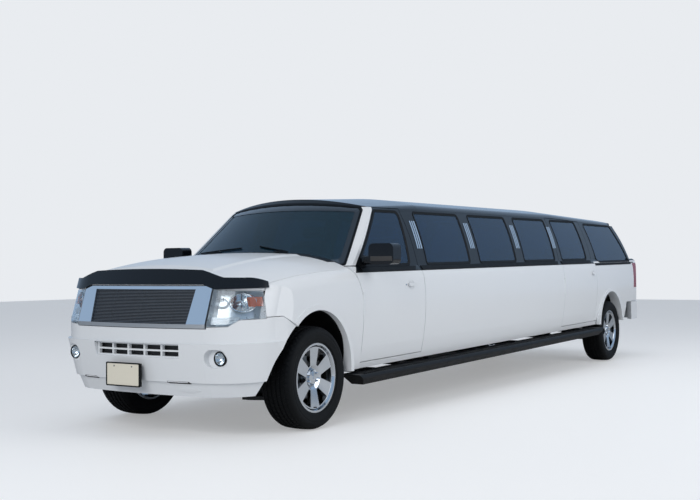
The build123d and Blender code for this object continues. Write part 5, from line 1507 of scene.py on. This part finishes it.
@dataclass
class Wheel(Assembly):
    """A tyre with moulded tread and sidewall ribs, wheel nuts, valve and brake."""

    hub_across: float = 0.851
    hubs: tuple[tuple[str, float, float], ...] = (("front", 0.0, 0.396), ("rear", 6.8822, 0.2939))
    radius: float = 0.396
    half: float = 0.1375
    seat: float = 0.2652
    crown: float = 0.495
    groove_depth: float = 0.0120
    blocks: int = 58
    ribs: tuple[tuple[float, float, float, float], ...] = (
        (-0.0950, -0.0672, 0.0, 0.78), (-0.0536, -0.0275, 0.4, 0.80), (-0.0145, 0.0145, 0.0, 0.82),
        (0.0275, 0.0536, 0.6, 0.80), (0.0672, 0.0950, 0.2, 0.78))
    nuts: int = 6
    nut_circle: float = 0.0575
    nut_face: float = 0.0745
    valve_place: Point = (0.078, 0.0, -0.226)

    def build(self) -> None:
        """Dresses the four wheels."""
        tyre = self.carcass().join(self.tread())
        nut = lathed([(0.0, 0.0005), (0.0, 0.0105), (0.004, 0.0105), (0.012, 0.0090), (0.020, 0.0085),
                      (0.023, 0.0060), (0.024, 0.0005)], 6)
        nuts = self.shop.repeater.row(nut.moved(self.nut_face, 0.0, self.nut_circle), self.nuts,
                                      turn=(2.0 * math.pi / self.nuts, 0.0, 0.0))
        valve = lathed([(0.0, 0.0004), (0.0, 0.0042), (0.020, 0.0038), (0.022, 0.0046), (0.036, 0.0046),
                        (0.038, 0.0004)], 14).moved(*self.valve_place)
        disc = lathed([(-0.030, 0.080), (-0.030, 0.164), (-0.022, 0.165), (-0.006, 0.165), (0.002, 0.164),
                       (0.002, 0.098), (0.014, 0.090), (0.014, 0.080)], 72)
        for end, along, up in self.hubs:
            place = (self.hub_across, along, up)
            wheel = end + "_wheel"
            tyres = self.shop.pair("tyre_" + end, tyre.moved(*place), TYRE_RUBBER, wheel, smooth=40.0)
            for side, piece in zip(Side, tyres):
                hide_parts(f"{end}_tyre_{side.word}")
            self.shop.pair("wheel_nuts_" + end, nuts.moved(*place), WHEEL_CHROME, wheel, smooth=25.0)
            self.shop.pair("tyre_valve_" + end, valve.moved(*place), SEAL_RUBBER, wheel)
            self.shop.pair("brake_disc_" + end, disc.moved(*place), BRAKE_STEEL, wheel, smooth=40.0)
            self.shop.pair("brake_caliper_" + end, self.caliper().moved(*place), CAST_METAL,
                           "front_knuckle" if end == "front" else "", bevel=0.004)

    def carcass(self) -> Shape:
        """The tyre's body under the tread blocks, closed at the rim."""
        h, r, s = self.half, self.radius, self.seat
        side = [(0.1090, s - 0.0115), (0.1090, s), (0.1180, s), (0.1225, s + 0.006), (0.1245, s + 0.012),
                (0.1290, s + 0.014), (0.1320, s + 0.030), (h - 0.0004, s + 0.056), (h, s + 0.066),
                (h - 0.0016, s + 0.070), (h, s + 0.074), (h - 0.002, s + 0.088), (h - 0.0075, s + 0.104),
                (h - 0.018, r - 0.0165), (h - 0.034, r - 0.0095)]
        grooves = []
        for centre in (0.060, 0.021, -0.021, -0.060):
            grooves += [(centre + 0.0062, r - 0.0065), (centre + 0.0048, r - 0.0100),
                        (centre - 0.0048, r - 0.0100), (centre - 0.0062, r - 0.0065)]
        right = [(-x, y) for x, y in reversed(side)]
        return lathed(side + grooves + right, 96)

    def top(self, across: float) -> float:
        """Radius of the tread's face, a little less towards its edges."""
        return self.radius - 0.0005 - self.crown * across * across

    def tread(self) -> Shape:
        """The tread blocks, repeated round the tyre."""
        step = 2.0 * math.pi / self.blocks
        floor = self.radius - self.groove_depth
        first = Shape()
        for low, high, shift, share in self.ribs:
            skew = step * (0.25 if low > -0.02 else -0.25)
            section = ((low, floor), (low + 0.001, self.top(low)), (high - 0.001, self.top(high)),
                       (high, floor))
            rows = []
            for turn in spread(-0.5, 0.5, 4):
                angle = step * (shift + share * turn)
                rows.append([spun(x, r, angle + skew * (x - low) / (high - low)) for x, r in section])
            first.join(skinned(rows))
        shoulder = ((0.0990, self.radius - 0.014), (0.1000, self.radius - 0.0062),
                    (0.1165, self.radius - 0.0150), (0.1255, self.radius - 0.0300),
                    (0.1235, self.radius - 0.0330))
        for sign in (-1.0, 1.0):
            first.join(skinned([[spun(sign * x, r, step * 0.66 * turn) for x, r in shoulder]
                                for turn in spread(-0.5, 0.5, 3)]))
        return self.shop.repeater.row(first, self.blocks, turn=(step, 0.0, 0.0))

    def caliper(self) -> Shape:
        """The caliper that grips the disc at its rear edge."""
        section = ((-0.052, 0.120), (-0.052, 0.182), (0.014, 0.182), (0.014, 0.171), (-0.034, 0.171),
                   (-0.034, 0.120))
        return skinned([[spun(x, r, math.radians(turn)) for x, r in section]
                        for turn in spread(62.0, 118.0, 7)])


# Sides

@dataclass
class SideFittings(Assembly):
    """Step pads, mirror faces with their sails and shrouds, door locks and handle rings."""

    pad_low: float = 0.560
    pad_high: float = 6.170
    pad_spare: float = 0.372
    rib_pitch: float = 0.030
    lock_along: float = 1.375
    pull_up: float = 1.065
    pulls: tuple[tuple[str, float], ...] = (("front_door", 1.465), ("rear_door", 6.203))
    mirror_face: tuple[Flat, ...] = ((1.030, 1.268), (1.222, 1.268), (1.222, 1.408), (1.030, 1.408))
    band_end: float = 1.235
    sail: tuple[Flat, ...] = ((0.684, 1.236), (0.835, 1.236), (0.835, 1.330), (0.766, 1.330))

    def build(self) -> None:
        """Fits them on both sides."""
        height = self.shop.top(("running_boards",), 1.0, 3.0, 1.0, self.pad_spare)
        rib = solid_box((0.925, 0.0, height - 0.001), (1.055, 0.014, height + 0.004))
        count = int((self.pad_high - self.pad_low) / self.rib_pitch)
        ribs = self.shop.repeater.row(rib.moved(0.0, self.pad_low, 0.0), count, (0.0, self.rib_pitch, 0.0))
        self.shop.pair("step_pad_ribs", ribs, SEAL_RUBBER, bevel=0.0015)
        self.mirror()
        key = lathed([(0.0, 0.0005), (0.0, 0.011), (0.003, 0.010), (0.004, 0.0005)], 24)
        out = self.shop.flank(("front_door_left",), self.lock_along, self.pull_up) - 0.001
        self.shop.pair("door_lock", key.moved(out, self.lock_along, self.pull_up), BRIGHT_TRIM, "front_door")
        for name, along in self.pulls:
            self.shop.pair(name + "_handle_cup", self.cup(name + "_left", along), WHITE_PAINT, name)

    def cup(self, node: str, along: float) -> Shape:
        """A raised ring round a pull handle.

        Args:
            node: The door.
            along: The handle's middle.

        Returns:
            The ring.
        """
        places = []
        for radius, lift in ((0.046, -0.001), (0.045, 0.002), (0.041, 0.002), (0.040, -0.001)):
            ring = []
            for step in range(40):
                angle = 2.0 * math.pi * step / 40
                z = self.pull_up + radius * math.sin(angle)
                out = self.shop.flank((node,), along + 0.085, z, 0.99)
                ring.append((out + lift, along + radius * math.cos(angle), z))
            places.append(ring)
        return skinned(places, looped=True)

    def mirror(self) -> None:
        """Lays the glass in the mirror's head, the band round its front, the sail and the arm's shroud."""
        glass = []
        for lift, shrink in ((-0.001, 0.0), (0.0022, 0.0), (0.003, 0.002)):
            ring = rounded(grown(self.mirror_face, -shrink), 0.030 - shrink, 5, 3)
            glass.append([(x, self.shop.back(("mirror_left",), x, z, 0.850) + lift, z) for x, z in ring])
        self.shop.pair("mirror_glass", skinned(glass), REFLECTOR, "front_door")
        section = ((1.279, -0.001), (1.284, 0.0028), (1.316, 0.0028), (1.321, -0.001))
        band = [[(x, self.shop.face(("mirror_left",), x, z, 0.74) - lift, z) for z, lift in section]
                for x in spread(self.mirror_face[0][0], self.band_end, 9)]
        self.shop.pair("mirror_band", skinned(band), GREY_PLASTIC, "front_door")
        nodes = ("front_door_left", "front_door_glass_left")
        ring = rounded(self.sail, 0.008, 3, 4)
        rows = [[(self.shop.flank(nodes, y, z) + lift, y, z) for y, z in ring] for lift in (-0.001, 0.0055)]
        self.shop.pair("mirror_sail", skinned(rows), BLACK_PLASTIC, "front_door", bevel=0.002)
        self.shop.pair("mirror_arm_shroud", self.shroud(), GLOSS_BLACK, "front_door", smooth=60.0)

    def shroud(self) -> Shape:
        """The waisted cover of the mirror's arm."""
        rows = []
        for share in spread(0.0, 1.0, 7):
            x = 0.930 + 0.110 * share
            y = 0.785 + 0.004 * share
            half = 0.040 - 0.010 * math.sin(math.pi * share)
            low, high = 1.250 + 0.006 * share, 1.318 + 0.016 * share
            rows.append([(x, y - half, low + 0.010), (x, y - half * 0.6, low), (x, y + half * 0.6, low),
                         (x, y + half, low + 0.010), (x, y + half, high - 0.012), (x, y + half * 0.6, high),
                         (x, y - half * 0.6, high), (x, y - half, high - 0.012)])
        return skinned(rows)


# Tail

@dataclass
class Tail(Assembly):
    """Lamp bands, plate recess, handle, wiper and stop lamp of the gate, and the bumper's step pad."""

    lamp_bands: tuple[tuple[str, float, float, Finish], ...] = (
        ("clear", 0.842, 0.950, CLEAR_RIBBED), ("amber", 1.062, 1.170, AMBER_LENS))
    recess_corners: tuple[Flat, ...] = ((-0.160, 0.872), (0.160, 0.872), (0.160, 1.024), (-0.160, 1.024))
    step_along: float = 8.16
    step_spare: float = 0.64

    def build(self) -> None:
        """Fits them."""
        for kind, low, high, finish in self.lamp_bands:
            rows = []
            for z in spread(low, high, 3):
                line = [(x, self.shop.back(("tail_lamps",), x, z, 8.15) + 0.0014, z)
                        for x in spread(0.775, 0.905, 7)]
                rows.append(backed(line, -0.004))
            self.shop.pair(f"tail_lamp_{kind}_band", skinned(rows), finish)
        self.recess()
        self.wiper()
        section = ((1.735, -0.002), (1.738, 0.010), (1.752, 0.010), (1.755, -0.002))
        strip = [[(x, self.shop.back(("liftgate", "roof_panel"), x, z, 7.6) + lift, z) for z, lift in section]
                 for x in spread(-0.24, 0.24, 11)]
        self.shop.put("high_stop_lamp", skinned(strip), RED_LENS, Body.LIFTGATE)
        height = self.shop.top(("rear_bumper",), 0.0, self.step_along, 1.2, self.step_spare)
        rib = solid_box((-0.62, 0.0, height - 0.001), (0.62, 0.008, height + 0.0035))
        ribs = self.shop.repeater.row(rib.moved(0.0, self.step_along - 0.055, 0.0), 5, (0.0, 0.018, 0.0))
        self.shop.put("rear_step_pad", ribs, SEAL_RUBBER, bevel=0.001)

    def recess(self) -> None:
        """Lays the dark field of the rear plate, and the pull strip above it."""
        ring = rounded(self.recess_corners, 0.010, 4, 4)
        rows = [[(x, self.shop.back(("liftgate",), x, z, 8.14) + lift, z) for x, z in ring]
                for lift in (-0.001, 0.0016)]
        self.shop.put("rear_plate_place", skinned(rows), BLACK_PLASTIC, Body.LIFTGATE)
        section = ((-0.004, 1.050), (0.010, 1.050), (0.022, 1.060), (0.016, 1.086), (-0.004, 1.094))
        rows = []
        for x in spread(-0.22, 0.22, 13):
            y = self.shop.back(("liftgate",), x, 1.072, 8.16)
            rows.append([(x, y + lift, z) for lift, z in section])
        self.shop.put("gate_handle_strip", skinned(rows), BRIGHT_TRIM, Body.LIFTGATE, smooth=25.0)

    def wiper(self) -> None:
        """Sets the rear wiper on the gate's glass."""
        path = []
        for share in spread(0.0, 1.0, 11):
            x = -0.03 + 0.42 * share
            z = 1.214 + 0.055 * math.sin(math.pi * 0.5 * share)
            path.append((x, self.shop.back(("rear_glass", "liftgate"), x, z, 8.0) + 0.016, z))
        arm = bar(path, [(0.0, 1.0, 0.4)] * len(path),
                  ((-0.004, -0.008), (0.004, -0.008), (0.006, 0.0), (0.004, 0.008), (-0.004, 0.008)))
        pivot = lathed([(0.0, 0.0005), (0.0, 0.018), (0.014, 0.016), (0.020, 0.010), (0.021, 0.0005)], 28)
        x, y, z = path[0]
        arm.join(pivot.turned(Matrix.Translation((x, y - 0.018, z))
                              @ Matrix.Rotation(math.radians(90.0), 4, "Z")))
        self.shop.put("rear_wiper", arm, BLACK_PLASTIC, Body.LIFTGATE, bevel=0.001)


# Cabin

@dataclass
class Seats(Assembly):
    """Two front seats with headrests, the long side bench and the rear bench, in stitched leather."""

    edge: float = 0.045
    bench_edge: float = 0.04
    crown: float = 0.016
    seam_depth: float = 0.014
    front_across: float = 0.400
    front_lean: float = -16.7
    long_bench: tuple[float, float, int] = (2.305, 5.098, 5)
    rear_half: float = 0.620
    rear_places: int = 3
    bench_grid: int = 18

    def build(self) -> None:
        """Upholsters every seat."""
        first = [self.front(side) for side in Side][0]
        plinth = solid_box((-0.78, 2.32, CABIN_FLOOR), (-0.37, 5.083, 0.720))
        plinth.join(solid_box((-0.600, 6.02, CABIN_FLOOR), (0.600, 6.45, 0.720)))
        self.shop.put("bench_plinths", plinth, BLACK_PLASTIC, bevel=0.012)
        start, end, count = self.long_bench
        for index in range(count):
            near = start + (end - start) / count * index
            far = near + (end - start) / count - 0.004
            self.bench(f"long_bench_cushion_{index + 1}", (-0.795, near, 0.700), (-0.330, far, 0.900), (0.5,))
            self.bench(f"long_bench_rest_{index + 1}", (-0.800, near, 0.860), (-0.680, far, 1.230),
                       (0.25, 0.5, 0.75))
        for index in range(self.rear_places):
            left = -self.rear_half + 2.0 * self.rear_half / self.rear_places * index
            right = left + 2.0 * self.rear_half / self.rear_places - 0.003
            self.upholster(f"rear_bench_cushion_{index + 1}", padding(
                (left, 5.995, 0.700), (right, 6.500, 0.900), self.edge, self.crown, (0.25, 0.75),
                self.seam_depth, self.bench_grid))
            self.bench(f"rear_bench_back_{index + 1}", (left, 6.445, 0.860), (right, 6.580, 1.400),
                       (0.25, 0.5, 0.75))
        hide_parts("seats")

    def upholster(self, name: str, shape: Shape) -> bpy.types.Object:
        """Makes a leather cushion."""
        piece = self.shop.put(name, shape, LEATHER, smooth=60.0)
        return piece

    def bench(self, name: str, low: Point, high: Point, seams: Sequence[float]) -> None:
        """Makes one cushion of a bench.

        Args:
            name: Its name.
            low: Low corner of the space it fills.
            high: High corner.
            seams: Places of its sewn channels.
        """
        self.upholster(name, padding(low, high, self.bench_edge, self.crown, seams, self.seam_depth,
                                     self.bench_grid))

    def front(self, side: Side) -> bpy.types.Object:
        """Makes one front seat.

        Args:
            side: Which side.

        Returns:
            The seat's cushion.
        """
        across = self.front_across * side.value
        lean = Matrix.Translation((across, 1.775, 0.880)) \
            @ Matrix.Rotation(math.radians(self.front_lean), 4, "X")
        seat = self.upholster(f"front_seat_cushion_{side.word}", padding(
            (across - 0.23, 1.25, 0.665), (across + 0.23, 1.76, 0.900), self.edge, self.crown, (0.2, 0.8),
            self.seam_depth))
        self.upholster(f"front_seat_back_{side.word}", padding(
            (-0.23, -0.075, -0.02), (0.23, 0.085, 0.625), self.edge, self.crown, (0.2, 0.8),
            self.seam_depth).turned(lean))
        self.upholster(f"front_seat_headrest_{side.word}", padding(
            (-0.13, -0.045, 0.655), (0.13, 0.050, 0.775), 0.035, 0.012).turned(lean))
        base = solid_box((across - 0.205, 1.29, CABIN_FLOOR), (across + 0.205, 1.72, 0.700))
        self.shop.put(f"front_seat_base_{side.word}", base, BLACK_PLASTIC, bevel=0.02)
        post = lathed([(0.600, 0.0005), (0.600, 0.006), (0.700, 0.006), (0.700, 0.0005)], 12)
        posts = Shape()
        for x in (-0.06, 0.06):
            posts.join(post.turned(lean @ Matrix.Translation((x, 0.0, 0.0))
                                   @ Matrix.Rotation(math.radians(-90.0), 4, "Y")))
        self.shop.put(f"headrest_posts_{side.word}", posts, BRIGHT_TRIM)
        return seat


@dataclass
class Cabin(Assembly):
    """Door armrests, instrument hood, vents and the console between the front seats."""

    arm_doors: tuple[tuple[str, float, float], ...] = (("front_door", 0.86, 1.56), ("rear_door", 5.42, 6.10))
    arm_up: float = 0.93
    arm_swell: float = 0.062
    hood_spare: float = 1.18
    vents: tuple[float, ...] = (-0.62, -0.09, 0.09, 0.66)

    def build(self) -> None:
        """Fits the trim."""
        self.dash()
        for name, start, end in self.arm_doors:
            rows = []
            for share in spread(0.0, 1.0, 9):
                y = start + (end - start) * share
                inner = self.inner(name + "_left", y, self.arm_up)
                swell = self.arm_swell * math.sin(math.pi * (share * 0.94 + 0.03)) ** 0.35
                rows.append([(inner + 0.002, y, 0.850), (inner - swell * 0.6, y, 0.858),
                             (inner - swell, y, 0.900), (inner - swell, y, 0.935),
                             (inner - swell * 0.8, y, 0.950), (inner + 0.002, y, 0.955)])
            self.shop.pair(name + "_armrest", skinned(rows), LEATHER, name, bevel=0.006, smooth=60.0)

    def inner(self, node: str, along: float, up: float) -> float:
        """How far out a door's inner face lies."""
        place = self.shop.skin((node,), (0.0, along, up), (1.0, 0.0, 0.0))
        return place.x if place is not None else 0.87

    def dash(self) -> None:
        """Adds the instrument hood, the vents and the console."""
        height = self.shop.top(("dashboard",), 0.393, 0.90, 1.6, self.hood_spare)
        rows = []
        for share in spread(0.0, 1.0, 13):
            x = 0.20 + 0.386 * share
            z = height - 0.012 + 0.050 * math.sin(math.pi * share) ** 0.5
            rows.append([(x, 0.70, height - 0.014), (x, 0.76, z), (x, 0.90, z + 0.004), (x, 0.925, z - 0.006),
                         (x, 0.90, height - 0.014)])
        self.shop.put("instrument_hood", skinned(rows), BLACK_PLASTIC, smooth=50.0)
        slats = self.shop.repeater.row(solid_box((-0.055, 0.0, 0.0), (0.055, 0.006, 0.0025)), 6,
                                       (0.0, 0.0, 0.009))
        vents = Shape()
        for x in self.vents:
            place = self.shop.skin(("dashboard",), (x, 2.2, 1.06), (0.0, -1.0, 0.0))
            if place is not None:
                vents.join(slats.moved(x, place.y - 0.003, 1.036))
        self.shop.put("dash_vents", vents, GREY_PLASTIC)
        console = [[(-0.125, y, CABIN_FLOOR), (0.125, y, CABIN_FLOOR), (0.120, y, z - 0.02),
                    (0.095, y, z), (-0.095, y, z), (-0.120, y, z - 0.02)]
                   for y, z in ((1.22, 0.700), (1.26, 0.780), (1.40, 0.800), (1.62, 0.800), (1.66, 0.770))]
        self.shop.put("front_console", skinned(console), BLACK_PLASTIC, bevel=0.006)


# Studio

@dataclass
class Studio:
    """The floor, the air, the lamps and the camera that looks from the photograph's place."""

    focal_px: float = 1034.93
    picture_width: float = 700.0
    sensor_mm: float = 36.0
    stand: Point = (5.4504, -10.1457, 1.2170)
    yaw: float = 1.0039
    pitch: float = -0.0195
    roll: float = -0.0069
    far_clip: float = 200.0
    floor_size: float = 60.0
    floor_lift: float = 0.45
    floor_colour: str = "#d9dadb"
    air: tuple[tuple[str, float], ...] = (("#cfd6e0", 0.42), ("#a2bbd8", 1.0), ("#e9ecf0", 1.0))
    soft_lamps: tuple[tuple[str, Point, Point, float, float], ...] = (
        ("key_lamp", (3.0, -14.0, 6.0), (0.0, -3.5, 0.9), 7.0, 640.0),
        ("side_lamp", (11.0, 0.5, 5.0), (0.0, 0.5, 1.2), 8.0, 540.0),
        ("top_lamp", (0.0, 1.0, 9.0), (0.0, 1.0, 0.0), 8.0, 170.0))

    def camera(self) -> None:
        """Sets the camera where the photographer stood."""
        data = bpy.data.cameras.new("camera")
        data.sensor_width = self.sensor_mm
        data.lens = self.focal_px / self.picture_width * self.sensor_mm
        data.clip_end = self.far_clip
        camera = bpy.data.objects.new("camera", data)
        bpy.context.scene.collection.objects.link(camera)
        forward = Vector((-math.cos(self.yaw) * math.cos(self.pitch),
                          math.sin(self.yaw) * math.cos(self.pitch), -math.sin(self.pitch)))
        right = forward.cross(Vector((0.0, 0.0, 1.0))).normalized()
        up = right.cross(forward)
        across = math.cos(self.roll) * right + math.sin(self.roll) * up
        upward = -math.sin(self.roll) * right + math.cos(self.roll) * up
        matrix = Matrix((across, upward, -forward)).transposed().to_4x4()
        matrix.translation = Vector(self.stand)
        camera.matrix_world = matrix
        bpy.context.scene.camera = camera

    def floor(self) -> None:
        """Lays one pale sheet of floor."""
        half = self.floor_size / 2.0
        mesh = bpy.data.meshes.new("studio_floor")
        mesh.from_pydata([(-half, -half, 0.0), (half, -half, 0.0), (half, half, 0.0), (-half, half, 0.0)],
                         [], [(0, 1, 2, 3)])
        floor = bpy.data.objects.new("studio_floor", mesh)
        bpy.context.scene.collection.objects.link(floor)
        mesh.materials.append(self.floor_finish())

    def floor_finish(self) -> bpy.types.Material:
        """Pale matt paint that stays pale to the eye far from the lamps and keeps the shadow."""
        material = Finish("studio_floor_painted", self.floor_colour, "#d3d4d6", roughness=0.6,
                          specular=0.2).build()
        tree = material.node_tree
        shader = next(node for node in tree.nodes if node.type == "BSDF_PRINCIPLED")
        path = add_node(tree, "ShaderNodeLightPath")
        lift = add_node(tree, "ShaderNodeMath", {"operation": "MULTIPLY", 1: self.floor_lift},
                        {0: path.outputs["Is Camera Ray"]})
        shader.inputs["Emission Color"].default_value = linear(self.floor_colour)
        tree.links.new(lift.outputs[0], shader.inputs["Emission Strength"])
        return material

    def world(self) -> None:
        """Gives the air a plain pale colour to the eye, and a dimmer sky blue to paint and glass."""
        world = bpy.data.worlds.new("studio_air")
        bpy.context.scene.world = world
        world.use_nodes = True
        tree = world.node_tree
        tree.nodes.clear()
        path = add_node(tree, "ShaderNodeLightPath")
        dim, sky, pale = (
            add_node(tree, "ShaderNodeBackground", {"Color": linear(colour), "Strength": strength})
            for colour, strength in self.air)
        mixed = add_node(tree, "ShaderNodeMixShader", links={
            0: path.outputs["Is Glossy Ray"], 1: dim.outputs[0], 2: sky.outputs[0]})
        mixed = add_node(tree, "ShaderNodeMixShader", links={
            0: path.outputs["Is Camera Ray"], 1: mixed.outputs[0], 2: pale.outputs[0]})
        add_node(tree, "ShaderNodeOutputWorld", links={"Surface": mixed.outputs[0]})

    def lamps(self) -> None:
        """Hangs the soft lamps."""
        for name, place, aim, size, power in self.soft_lamps:
            data = bpy.data.lights.new(name, "AREA")
            data.size = size
            data.energy = power
            lamp = bpy.data.objects.new(name, data)
            bpy.context.scene.collection.objects.link(lamp)
            lamp.location = place
            lamp.visible_glossy = name == "side_lamp"
            aimed = Vector(aim) - Vector(place)
            lamp.rotation_euler = aimed.to_track_quat("-Z", "Y").to_euler()


def dress(shop: Workshop) -> None:
    """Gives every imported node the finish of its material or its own.

    Args:
        shop: The workshop.
    """
    for name, node in shop.nodes.items():
        slot = node.data.materials[0].name.split(".")[0] if node.data.materials else ""
        finish = NODE_FINISHES.get(name, SLOT_FINISHES.get(slot))
        if finish is not None:
            node.data.materials[0] = shop.material(finish)
            LOG.info("%s: %s", name, finish.name)


def main() -> None:
    """Builds the sub-assemblies in order."""
    logging.basicConfig(level=logging.INFO, format="%(name)s: %(message)s")
    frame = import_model()
    bpy.context.scene.view_settings.view_transform = "Standard"
    studio = Studio()
    for step in (studio.camera, studio.floor, studio.world, studio.lamps):
        step()
    shop = Workshop(frame["nodes"])
    dress(shop)
    for kind in (WindowSeals, BeltMouldings, Grille, Headlamps, BumperFittings, Wipers, Wheel, SideFittings,
                 Tail, Seats, Cabin):
        kind(shop).build()
        LOG.info("%s done, %d pieces so far", kind.__name__, shop.pieces)


if __name__ == "__main__":
    main()
